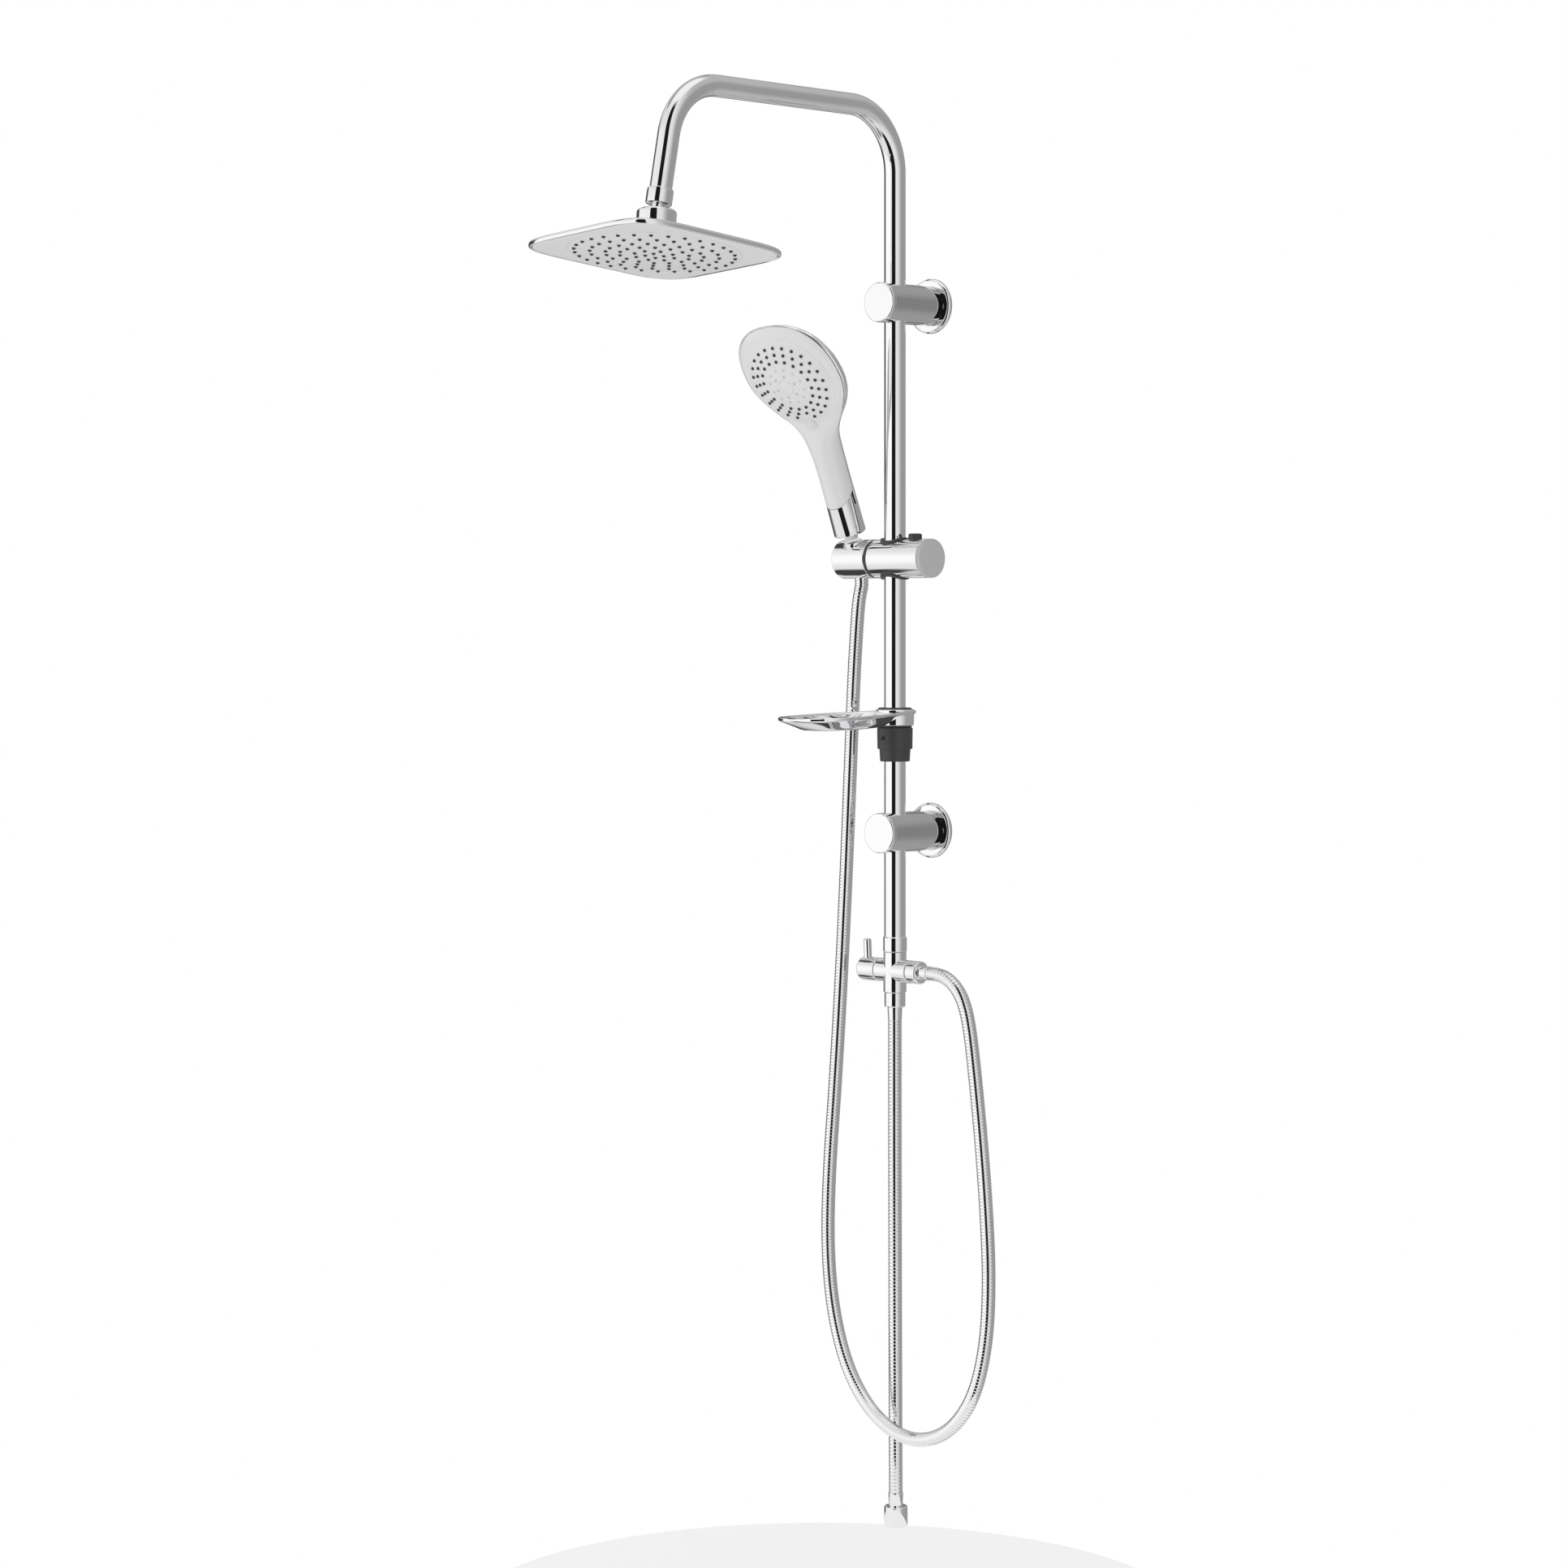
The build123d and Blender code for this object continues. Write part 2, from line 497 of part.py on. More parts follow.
nodes["diverter_cartridge"] = pipe(8.5, 3.0, column(KNOB_SEAM_X + 1, 0, DIVERTER_Z), (1, 0, 0), 14.0)
knob = rod(12.0, column(KNOB_END_X, 0, DIVERTER_Z), (1, 0, 0), KNOB_SEAM_X - 0.4 - KNOB_END_X)
knob = fillet(knob.edges().sort_by(Axis.X)[0], 1.5)
lever = rod(4.0, column(LEVER_X, 0, DIVERTER_Z + 5), (-0.05, 0, 1), 29.0)
lever = fillet(lever.edges().sort_by(Axis.Z)[-1], 2.0)
lever_hole = rod(4.0, column(LEVER_X, 0, DIVERTER_Z + 5), (-0.05, 0, 1), 40.0)
nodes["diverter_lever"] = lever
spindle = rod(2.9, column(KNOB_SEAM_X - 3, 0, DIVERTER_Z), (1, 0, 0), 18.0)
nodes["diverter_knob"] = knob + spindle - lever_hole
outlet_nut = pipe(11.6, 7.2, column(OUTLET_SEAM_X + 0.4, 0, DIVERTER_Z), (1, 0, 0), OUTLET_NUT_END - 23.1)
nodes["outlet_nut"] = chamfer(outlet_nut.edges().sort_by(Axis.X)[-1], 1.0)
ferrule = Plane(origin=column(OUTLET_SEAM_X + 2.5, 0, DIVERTER_Z), z_dir=(1, 0, 0))
ferrule_length = OUTLET_END - OUTLET_SEAM_X - 2.5
nodes["outlet_ferrule"] = turned(
    [
        (4.5, 0), (7.0, 0), (7.0, ferrule_length - 11), (7.6, ferrule_length - 10.6),
        (7.2, ferrule_length), (4.5, ferrule_length),
    ],
    ferrule,
)
supply_nut = pipe(10.75, 7.2, column(0, 0, SUPPLY_NUT_FOOT), (0, 0, 1), 14.8)
nodes["supply_nut"] = chamfer(supply_nut.edges().sort_by(Axis.Z)[0], 1.0)
nodes["supply_ferrule"] = turned(
    [(4.5, 0), (7.1, 0), (7.6, 13.5), (7.0, 14.0), (7.0, 26.0), (4.5, 26.0)],
    Plane(column(0, 0, SUPPLY_END)),
)
washer_low = pipe(7.0, 4.5, column(0, 0, SUPPLY_END + 26.1), (0, 0, 1), 2.0)
washer_side = pipe(6.9, 4.5, column(OUTLET_SEAM_X + 0.4, 0, DIVERTER_Z), (1, 0, 0), 2.0)
nodes["hose_washers"] = washer_low + washer_side


# ---------------------------------------------------------------- hoses
def hose_line(name, route):
    """Straight runs joined by tangent arcs; each arc takes most of its shorter run."""
    points = [column(*spot) for spot in route]
    radii = []
    for before, here, after in zip(points, points[1:], points[2:]):
        turn = (here - before).get_angle(after - here)
        shorter = min((here - before).length, (after - here).length)
        radii.append(RUN_SHARE * shorter / math.tan(math.radians(turn) / 2))
    print(name, "radii", [round(r) for r in radii])
    return FilletPolyline(*points, radius=radii)


def hose(name, route):
    """Plain round hose, with its volume compared with section times length."""
    line = hose_line(name, route)
    solid = swept_rod(line, HOSE_R)
    share = solid.volume / (math.pi * HOSE_R ** 2 * line.length)
    print(name, "length", round(line.length, 1), "volume share", round(share, 4))
    return solid


socket_way = Vector(0, -math.sin(math.radians(HAND_TILT)), math.cos(math.radians(HAND_TILT)))
nut_face = Vector(SOCKET_X, SOCKET_Y, SLIDER_Z) + socket_way * NUT_FOOT
hose_entry = nut_face - socket_way * 18.0
shower_points = SHOWER_ROUTE + (tuple(hose_entry), tuple(nut_face))
print("hose end", [round(v, 2) for v in nut_face], [round(v, 2) for v in hose_entry])
nodes["shower_hose"] = hose("shower_hose", shower_points)
nodes["supply_hose"] = hose("supply_hose", SUPPLY_ROUTE)

supply_end = column(*SUPPLY_ROUTE[-1])
supply_way = (supply_end - column(*SUPPLY_ROUTE[-2])).normalized()
end_plane = Plane(origin=supply_end, z_dir=supply_way)
nodes["supply_end_ferrule"] = turned(
    [(4.5, 0), (7.6, 0), (7.1, 13), (7.1, 20), (8.6, 20.2), (8.6, 22), (4.5, 22)], end_plane
)
nodes["supply_end_nut"] = turned(
    [
        (7.4, 14.0), (11.0, 14.0), (12.0, 15.0), (12.0, 34.0), (11.2, SUPPLY_NUT_LENGTH),
        (THREAD_R, SUPPLY_NUT_LENGTH), (THREAD_R, 24.3), (9.9, 24.3), (9.9, 18.6), (7.4, 18.6),
    ],
    end_plane,
)
nodes["supply_end_washer"] = turned([(4.5, 22.1), (9.0, 22.1), (9.0, 24.1), (4.5, 24.1)], end_plane)

for name, solid in nodes.items():
    export_step(solid, f"parts/{name}.step")
print(len(nodes), "nodes")
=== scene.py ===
"""Finished look of a rainfall shower column: chrome skins, moulded plastic, corrugated metal hoses."""

import json
import math

import bmesh
import bpy
import numpy as np
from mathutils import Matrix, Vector


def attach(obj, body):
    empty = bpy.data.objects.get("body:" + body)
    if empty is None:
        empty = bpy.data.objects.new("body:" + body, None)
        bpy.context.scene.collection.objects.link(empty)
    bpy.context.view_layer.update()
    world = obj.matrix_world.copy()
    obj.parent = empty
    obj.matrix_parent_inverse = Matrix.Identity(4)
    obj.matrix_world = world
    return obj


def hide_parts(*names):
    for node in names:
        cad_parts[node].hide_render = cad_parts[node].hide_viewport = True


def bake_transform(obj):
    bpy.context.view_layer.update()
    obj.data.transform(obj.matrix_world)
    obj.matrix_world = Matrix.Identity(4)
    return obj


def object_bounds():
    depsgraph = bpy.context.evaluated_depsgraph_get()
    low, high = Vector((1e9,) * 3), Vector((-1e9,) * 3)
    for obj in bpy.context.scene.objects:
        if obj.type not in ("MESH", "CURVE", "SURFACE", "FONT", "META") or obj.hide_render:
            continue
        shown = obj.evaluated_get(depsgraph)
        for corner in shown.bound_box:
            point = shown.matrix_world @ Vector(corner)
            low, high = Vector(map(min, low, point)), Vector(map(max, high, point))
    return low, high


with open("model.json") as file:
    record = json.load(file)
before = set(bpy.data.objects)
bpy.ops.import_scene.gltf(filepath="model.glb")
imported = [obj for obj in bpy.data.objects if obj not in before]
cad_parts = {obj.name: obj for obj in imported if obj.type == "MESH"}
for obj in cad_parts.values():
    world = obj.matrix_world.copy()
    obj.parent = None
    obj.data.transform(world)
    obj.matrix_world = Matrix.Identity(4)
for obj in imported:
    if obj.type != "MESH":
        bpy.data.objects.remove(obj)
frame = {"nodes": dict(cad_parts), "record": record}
cad_box = [list(corner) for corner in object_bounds()]

MM = 0.001
RISER_Y = -57.0            # riser axis in front of the wall, as in the CAD frame
VIEW_TURN = math.radians(44.0)
EYE_LEVEL = -315.0
VIEW_DISTANCE = 4083.3
VIEW_OFFSET = 113.9
FOCAL_SHARE = 4900.0 / 1932.0
HORIZON_SHIFT = (966.0 - 752.0) / 1932.0

RIGHT = np.array([math.cos(VIEW_TURN), math.sin(VIEW_TURN), 0.0])
AWAY = np.array([-math.sin(VIEW_TURN), math.cos(VIEW_TURN), 0.0])


# ------------------------------------------------------------------ shader sockets
class Wire:
    """A shader value; Python operators on it add Math nodes."""

    def __init__(self, tree, socket):
        self.tree = tree
        self.socket = socket

    def node(self, kind, settings=None, inputs=None, out=0):
        """Add a node: its settings first, then the values or links of its sockets."""
        made = self.tree.nodes.new(kind)
        for key, value in (settings or {}).items():
            if key == "stops":
                ramp = made.color_ramp
                while len(ramp.elements) < len(value):
                    ramp.elements.new(0.5)
                for element, (place, colour) in zip(ramp.elements, value):
                    element.position = place
                    element.color = colour
            else:
                setattr(made, key, value)
        for key, value in (inputs or {}).items():
            if isinstance(value, Wire):
                self.tree.links.new(value.socket, made.inputs[key])
            else:
                made.inputs[key].default_value = value
        return Wire(self.tree, made.outputs[out])

    def maths(self, operation, *values):
        """Math node on plain values or wires."""
        inputs = {place: value for place, value in enumerate(values)}
        return self.node("ShaderNodeMath", {"operation": operation}, inputs)

    def __add__(self, other):
        return self.maths("ADD", self, other)

    def __radd__(self, other):
        return self.maths("ADD", other, self)

    def __sub__(self, other):
        return self.maths("SUBTRACT", self, other)

    def __rsub__(self, other):
        return self.maths("SUBTRACT", other, self)

    def __mul__(self, other):
        return self.maths("MULTIPLY", self, other)

    def __rmul__(self, other):
        return self.maths("MULTIPLY", other, self)

    def step(self, low, high):
        """Smooth step from 0 at low to 1 at high."""
        settings = {"interpolation_type": "SMOOTHSTEP"}
        return self.node("ShaderNodeMapRange", settings, {0: self, 1: low, 2: high})

    def mix(self, first, second):
        """Colour mix with this value as the factor."""
        settings = {"data_type": "RGBA"}
        return self.node("ShaderNodeMix", settings, {0: self, 6: first, 7: second}, out=2)

    def dot(self, direction):
        """Share of a vector along a fixed direction."""
        inputs = {0: self, 1: tuple(direction)}
        return self.node("ShaderNodeVectorMath", {"operation": "DOT_PRODUCT"}, inputs, out=1)


def grey(level, tint=0.0):
    return (level, level, level * (1 + tint), 1.0)


def material(name):
    """New node material; returns it, its Principled node and a starting wire."""
    made = bpy.data.materials.new(name)
    made.use_nodes = True
    shader = made.node_tree.nodes["Principled BSDF"]
    return made, shader, Wire(made.node_tree, None)


def link(wire, shader, name):
    wire.tree.links.new(wire.socket, shader.inputs[name])


def object_noise(start, scale, detail=2.0):
    """Noise over the object's own coordinates, in metres."""
    place = start.node("ShaderNodeTexCoord", out=3)
    return start.node("ShaderNodeTexNoise", None, {"Vector": place, "Scale": scale, "Detail": detail})


def bump(start, height, strength, distance, shader):
    made = start.node(
        "ShaderNodeBump", None, {"Height": height, "Strength": strength, "Distance": distance}
    )
    link(made, shader, "Normal")


def plated(name, level, rough, haze, wave, tint=0.012):
    """Polished plate: clean mirror with faint haze, wipe marks and a slow polish wave."""
    made, shader, start = material(name)
    shader.inputs["Metallic"].default_value = 1.0
    cloud = object_noise(start, 9.0, 0.0)
    wipe = object_noise(start, 210.0, 4.0)
    link(cloud * haze + wipe * (haze * 0.5) + rough, shader, "Roughness")
    link(cloud.step(0.35, 0.7).mix(grey(level, tint), grey(level * 0.97, tint)), shader, "Base Color")
    bump(start, cloud, wave, 0.0006, shader)
    return made


def moulded(name, level, rough, grain, coat=0.0, tint=0.0):
    """Moulded plastic: slight tone drift, fine grain in the gloss and the surface."""
    made, shader, start = material(name)
    shader.inputs["Coat Weight"].default_value = coat
    shader.inputs["Coat Roughness"].default_value = 0.08
    drift = object_noise(start, 14.0)
    fine = object_noise(start, 1600.0, 3.0)
    link(drift.step(0.3, 0.7).mix(grey(level * 0.985, tint), grey(level, tint)), shader, "Base Color")
    link(fine * 0.08 + rough, shader, "Roughness")
    bump(start, fine, grain, 0.00004, shader)
    return made


def rubbery(name, level):
    """Matte silicone: dusty tone change and a soft pitted surface."""
    made, shader, start = material(name)
    dust = object_noise(start, 700.0, 4.0)
    link(dust.step(0.3, 0.75).mix(grey(level), grey(level * 1.5)), shader, "Base Color")
    link(dust * 0.15 + 0.45, shader, "Roughness")
    bump(start, dust, 0.2, 0.00005, shader)
    return made


def turned_metal(name, colour, rough):
    """Machined metal with fine tool marks."""
    made, shader, start = material(name)
    shader.inputs["Metallic"].default_value = 1.0
    marks = object_noise(start, 900.0, 5.0)
    darker = tuple(c * 0.85 for c in colour[:3]) + (1.0,)
    link(marks.step(0.3, 0.7).mix(colour, darker), shader, "Base Color")
    link(marks * 0.2 + rough, shader, "Roughness")
    bump(start, marks, 0.15, 0.00003, shader)
    return made


CHROME = plated("polished_chrome", 0.94, 0.012, 0.02, 0.01)
OXIDE = turned_metal("blackened_screw", grey(0.05), 0.45)
HOSE_CHROME = plated("hose_chrome", 0.92, 0.05, 0.03, 0.004)
SHADED_CHROME = plated("shaded_chrome", 0.64, 0.02, 0.03, 0.006)
WHITE = moulded("white_abs", 0.80, 0.32, 0.1, coat=0.15)
PLATE_WHITE = moulded("white_spray_plate", 0.79, 0.40, 0.1, coat=0.1)
PALE = moulded("pale_nozzle", 0.70, 0.35, 0.15)
DARK = moulded("dark_nylon", 0.045, 0.42, 0.5, tint=0.03)
NOZZLE = rubbery("nozzle_silicone", 0.035)
SEAL = rubbery("seal_rubber", 0.02)
SATIN = moulded("satin_grey_cap", 0.50, 0.45, 0.1)
BRASS = turned_metal("turned_brass", (0.72, 0.55, 0.28, 1.0), 0.25)
STEEL = turned_metal("stainless_steel", grey(0.6), 0.25)
ZINC = turned_metal("cast_zinc", grey(0.42, 0.03), 0.5)


# ------------------------------------------------------------------ surfaces
def unit(vector):
    vector = np.asarray(vector, float)
    return vector / np.linalg.norm(vector)


def column(x, y, z):
    """Point given from the riser axis in millimetres, in the row frame's metres."""
    return np.array([x, y + RISER_Y, z]) * MM


def frame_of(axis, lead=(0.0, 0.0, 1.0)):
    """Two unit vectors square to an axis; the first points along lead as far as it can."""
    axis = unit(axis)
    lead = np.asarray(lead, float)
    if abs(unit(lead) @ axis) > 0.98:
        lead = np.array([1.0, 0.0, 0.0])
    first = unit(lead - (lead @ axis) * axis)
    return first, np.cross(axis, first)


def finish_mesh(name, points, faces, skin, body, slot, stands_for=(), crease=32.0):
    """Make the object, close its seams and poles, turn its faces outwards and set its smooth shading."""
    mesh = bpy.data.meshes.new(name)
    mesh.from_pydata(np.asarray(points).reshape(-1, 3).tolist(), [], np.asarray(faces).tolist())
    shape = bmesh.new()
    shape.from_mesh(mesh)
    bmesh.ops.remove_doubles(shape, verts=shape.verts, dist=2e-7)
    bmesh.ops.recalc_face_normals(shape, faces=shape.faces)
    shape.to_mesh(mesh)
    shape.free()
    mesh.shade_smooth()
    mesh.set_sharp_from_angle(angle=math.radians(crease))
    made = bpy.data.objects.new(name, mesh)
    bpy.context.scene.collection.objects.link(made)
    mesh.materials.append(skin)
    if stands_for:
        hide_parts(*stands_for)
    if body:
        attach(made, body)
    return made


def quads(rows, columns, wrap=True):
    """Faces of a grid of rows by columns; the columns may wrap round."""
    row = np.arange(rows - 1)[:, None]
    span = columns if wrap else columns - 1
    here = np.arange(span)[None, :]
    there = (here + 1) % columns
    corners = [row * columns + here, row * columns + there]
    corners += [(row + 1) * columns + there, (row + 1) * columns + here]
    return np.stack(corners, axis=-1).reshape(-1, 4)


def rounded(points, radius, steps=5):
    """Profile whose corners are arcs: each corner is eased by a quadratic curve between its two setbacks."""
    points = np.asarray(points, float)
    out = [points[0]]
    for before, here, after in zip(points, points[1:], points[2:]):
        one, two = before - here, after - here
        setback = min(radius, 0.45 * np.linalg.norm(one), 0.45 * np.linalg.norm(two))
        start, end = here + unit(one) * setback, here + unit(two) * setback
        t = np.linspace(0, 1, steps)[:, None]
        out.extend((1 - t) ** 2 * start + 2 * t * (1 - t) * here + t ** 2 * end)
    out.append(points[-1])
    return np.array(out)


def turned(name, profile, origin, axis, skin, body, slot, stands_for=(), soft=0.6, sides=96):
    """Solid of revolution: each (radius, height) of the eased profile goes round the axis.

    Point = origin + height * axis + radius * (cos a * first + sin a * second).
    """
    line = rounded(profile, soft) * MM
    first, second = frame_of(axis)
    angle = np.linspace(0, 2 * np.pi, sides, endpoint=False)
    ring = np.cos(angle)[:, None] * first + np.sin(angle)[:, None] * second
    points = origin + line[:, 1, None, None] * unit(axis) + line[:, 0, None, None] * ring
    return finish_mesh(name, points, quads(len(line), sides), skin, body, slot, stands_for)


def swept(name, path, radius, skin, body, slot, stands_for=(), sides=48, radii=None):
    """Round tube along a path: a ring square to the path at each point, carried without twist."""
    path = np.asarray(path, float)
    way = np.gradient(path, axis=0)
    way /= np.linalg.norm(way, axis=1)[:, None]
    first = np.zeros_like(path)
    first[0] = frame_of(way[0], (1.0, 0.0, 0.0))[0]
    for place in range(1, len(path)):
        lead = first[place - 1] - (first[place - 1] @ way[place]) * way[place]
        first[place] = unit(lead)
    second = np.cross(way, first)
    angle = np.linspace(0, 2 * np.pi, sides, endpoint=False)
    width = np.full(len(path), radius) if radii is None else radii
    ring = np.cos(angle)[None, :, None] * first[:, None] + np.sin(angle)[None, :, None] * second[:, None]
    points = path[:, None] + width[:, None, None] * ring
    ends = [np.repeat(path[:1, None], sides, 1), points, np.repeat(path[-1:, None], sides, 1)]
    points = np.concatenate(ends)
    return finish_mesh(name, points, quads(len(path) + 2, sides), skin, body, slot, stands_for)


# ------------------------------------------------------------------ camera
def studio_camera():
    """Level camera in front and to the left of the column, framed by a downward shift."""
    data = bpy.data.cameras.new("camera")
    data.sensor_width = 36.0
    data.lens = FOCAL_SHARE * 36.0
    data.shift_y = -HORIZON_SHIFT
    data.clip_end = 50
    camera = bpy.data.objects.new("camera", data)
    camera.location = column(0, 0, EYE_LEVEL) - AWAY * VIEW_DISTANCE * MM - RIGHT * VIEW_OFFSET * MM
    camera.rotation_euler = (math.pi / 2, 0, VIEW_TURN)
    bpy.context.scene.collection.objects.link(camera)
    bpy.context.scene.camera = camera


studio_camera()

# ------------------------------------------------------------------ riser and arm
BEND_R = 66.0
ARM_Z = 199.0
ARM_REACH = 260.0
NOSE_TURN = math.radians(78.7)


def leg_point(along):
    """Point on the leg after the nose bend."""
    y = -ARM_REACH - BEND_R * math.sin(NOSE_TURN) - along * math.cos(NOSE_TURN)
    z = ARM_Z - BEND_R + BEND_R * math.cos(NOSE_TURN) - along * math.sin(NOSE_TURN)
    return column(0, y, z)


LEG_WAY = unit(leg_point(1) - leg_point(0))


def riser_path():
    """Straight riser, quarter bend, level arm, nose bend and leg."""
    rise = [column(0, 0, z) for z in np.linspace(-661, ARM_Z - BEND_R, 60)]
    turn = np.linspace(0, math.pi / 2, 40)[1:]
    top = [
        column(0, -BEND_R + BEND_R * math.cos(a), ARM_Z - BEND_R + BEND_R * math.sin(a)) for a in turn
    ]
    arm = [column(0, y, ARM_Z) for y in np.linspace(-BEND_R, -ARM_REACH, 20)[1:]]
    turn = np.linspace(0, NOSE_TURN, 36)[1:]
    nose = [
        column(0, -ARM_REACH - BEND_R * math.sin(a), ARM_Z - BEND_R + BEND_R * math.cos(a)) for a in turn
    ]
    leg = [leg_point(along) for along in np.linspace(0, 62, 8)[1:]]
    return np.array(rise + top + arm + nose + leg)


swept("riser_skin", riser_path(), 11 * MM, CHROME, "root", "chrome", ("riser_tube",), sides=96)
turned(
    "arm_nut_skin", [(11, 0), (12.6, 0), (13, 2.2), (13, 15.2), (7, 16), (7, 14)],
    leg_point(55), LEG_WAY, CHROME, "root", "chrome", ("arm_nut",), soft=0.8,
)

# ------------------------------------------------------------------ overhead rose
BALL = leg_point(84)
BALL_R = 9.0


def turn_matrix(about_x=0.0, about_y=0.0, about_z=0.0):
    """Rotation about X, then Y, then Z of the turned axes, in degrees: Rx * Ry * Rz."""
    ax, ay, az = (math.radians(value) for value in (about_x, about_y, about_z))
    x = np.array([[1, 0, 0], [0, math.cos(ax), -math.sin(ax)], [0, math.sin(ax), math.cos(ax)]])
    y = np.array([[math.cos(ay), 0, math.sin(ay)], [0, 1, 0], [-math.sin(ay), 0, math.cos(ay)]])
    z = np.array([[math.cos(az), -math.sin(az), 0], [math.sin(az), math.cos(az), 0], [0, 0, 1]])
    return x @ y @ z


HEAD_TURN = turn_matrix(-7.3, -3.3, -5.0)
HEAD_UP = HEAD_TURN @ np.array([0.0, 0.0, 1.0])
RIM_TOP = -29.0
RIM_FOOT = -34.0


def head_point(points):
    """Millimetre points of the rose's own frame, placed in the row frame."""
    return BALL + (np.asarray(points, float) * MM) @ HEAD_TURN.T


ball_angle = np.linspace(math.acos(6.9 / 9.0), math.radians(-60), 24)
nipple = [(0, 24), (6.9, 24)] + [(BALL_R * math.cos(a), BALL_R * math.sin(a)) for a in ball_angle]
nipple += [(0, BALL_R * math.sin(math.radians(-60)))]
turned(
    "ball_nipple_skin", nipple, BALL, -LEG_WAY, CHROME, "root", "brass_parts", ("ball_nipple",), soft=0.3
)
turned(
    "head_collar_skin",
    [(12.6, 2), (12.6, 8), (17.4, 8), (19.4, 6), (19.4, -16), (0, -16)],
    BALL, HEAD_UP, CHROME, "overhead", "chrome", ("head_collar",), soft=1.2,
)


def square_reach(angle, half, power=5.65):
    """Distance from the centre to a bowed square: |x|^p + |y|^p = half^p."""
    total = np.abs(np.cos(angle)) ** power + np.abs(np.sin(angle)) ** power
    return half / total ** (1 / power)


def shell_points(sides=240):
    """Chrome shell from the collar to the rim and back in under the plate.

    Each ring is a circle that becomes the bowed square as its half width grows from 20 to 98.
    """
    dome = np.array([
        (10, -13.0), (19, -13.2), (24, -13.8), (36, -16.5), (56, -20.3), (78, -24.0), (92, -26.9),
        (96, -28.0), (97.7, -29.4), (98, -31.2), (97.8, -33.0), (96.9, -34.0), (95.2, -33.2),
        (94.8, -30.5), (20, -17),
    ])
    line = rounded(dome, 3.0, 4)
    angle = np.linspace(0, 2 * np.pi, sides, endpoint=False)
    square = square_reach(angle, 1.0)
    share = np.clip((line[:, 0] - 20) / 50, 0, 1)
    share = share * share * (3 - 2 * share)
    reach = line[:, 0, None] * (1 - share[:, None] + share[:, None] * square)
    x, y = reach * np.cos(angle), reach * np.sin(angle)
    return head_point(np.stack([x, y, np.broadcast_to(line[:, 1, None], x.shape)], -1))


shell = shell_points()
finish_mesh(
    "head_shell_skin", shell, quads(shell.shape[0], shell.shape[1]), CHROME, "overhead", "chrome",
    ("head_shell",), crease=50,
)


def head_face(radius):
    """Depth of the slightly bowed white face below the rim's foot."""
    return RIM_FOOT + 0.35 - 3.2 * (1 - (radius / 96.0) ** 2)


def head_plate(sides=240):
    """White spray plate: bowed face with a fine round seam, square only near its edge."""
    radius = np.concatenate([
        np.linspace(0.0, 83.4, 30), [83.75, 84.0, 84.25], np.linspace(84.6, 93.5, 8), [94.6, 95.0, 94.6],
    ])
    height = head_face(radius)
    height[30:33] += (0.25, 0.4, 0.25)
    height[-3:] = (height[-4] + 0.25, height[-4] + 1.0, height[-4] + 2.6)
    radius = np.append(radius, 0.0)
    height = np.append(height, height[-1])
    angle = np.linspace(0, 2 * np.pi, sides, endpoint=False)
    square = square_reach(angle, 1.0)
    share = np.clip((radius - 84.3) / 9.0, 0, 1)
    share = share * share * (3 - 2 * share)
    reach = radius[:, None] * (1 - share[:, None] + share[:, None] * square)
    x, y = reach * np.cos(angle), reach * np.sin(angle)
    points = head_point(np.stack([x, y, np.broadcast_to(height[:, None], x.shape)], -1))
    finish_mesh(
        "head_plate_skin", points, quads(points.shape[0], sides), PLATE_WHITE, "overhead",
        "white_plastic", ("head_spray_plate",), crease=50,
    )


head_plate()

# ------------------------------------------------------------------ wall brackets
WALLWARD = (0.0, 1.0, 0.0)
for which, level in (("upper", 0.0), ("lower", -543.0)):
    name = which + "_bracket"
    at_riser = column(0, 0, level)
    turned(
        name + "_barrel_skin", [(0, -20.6), (20.1, -20.6), (20.5, -20.2), (20.5, 56.4), (0, 56.4)],
        at_riser, WALLWARD, SHADED_CHROME, "root", "chrome", (name + "_barrel",), soft=0.3,
    )
    turned(
        name + "_cap_skin", [(0, -25), (19.6, -25), (20.5, -24.1), (20.5, -21.2), (19.9, -20.9), (0, -20.9)],
        at_riser, WALLWARD, CHROME, "root", "chrome", (name + "_cap",), soft=0.4,
    )
    turned(
        name + "_rose_skin", [(20.6, 51), (26.5, 51), (28.5, 53), (28.5, 57), (20.6, 57)],
        at_riser, WALLWARD, CHROME, "root", "chrome", (name + "_rose",), soft=1.0,
    )

# ------------------------------------------------------------------ slider and holder
SLIDER = column(0, 0, -262)
BARREL_R = 20.0
MOUTH_HALF = 10.2
MOUTH_X = -50.0
MOUTH_TOP = math.radians(60.0)
MOUTH_FOOT = math.radians(-103.0)
ACROSS = (1.0, 0.0, 0.0)
turned(
    "slider_body_skin", [(0, -23), (19.7, -23), (20, -22.7), (20, 46.2), (19.7, 46.5), (0, 46.5)],
    SLIDER, ACROSS, CHROME, "slider", "chrome", ("slider_body",), soft=0.25,
)
turned(
    "slider_end_cap_skin", [(0, 46.7), (19.6, 46.7), (20, 47.1), (20, 51.0), (19.5, 51.5), (0, 51.5)],
    SLIDER, ACROSS, SATIN, "slider", "grey_satin", ("slider_end_cap",), soft=0.3,
)
turned(
    "seam_ring_skin", [(4.2, -26.7), (19.6, -26.7), (20, -26.3), (20, -23.4), (19.6, -23), (4.2, -23)],
    SLIDER, ACROSS, DARK, "slider", "dark_plastic", ("seam_ring",), soft=0.3,
)
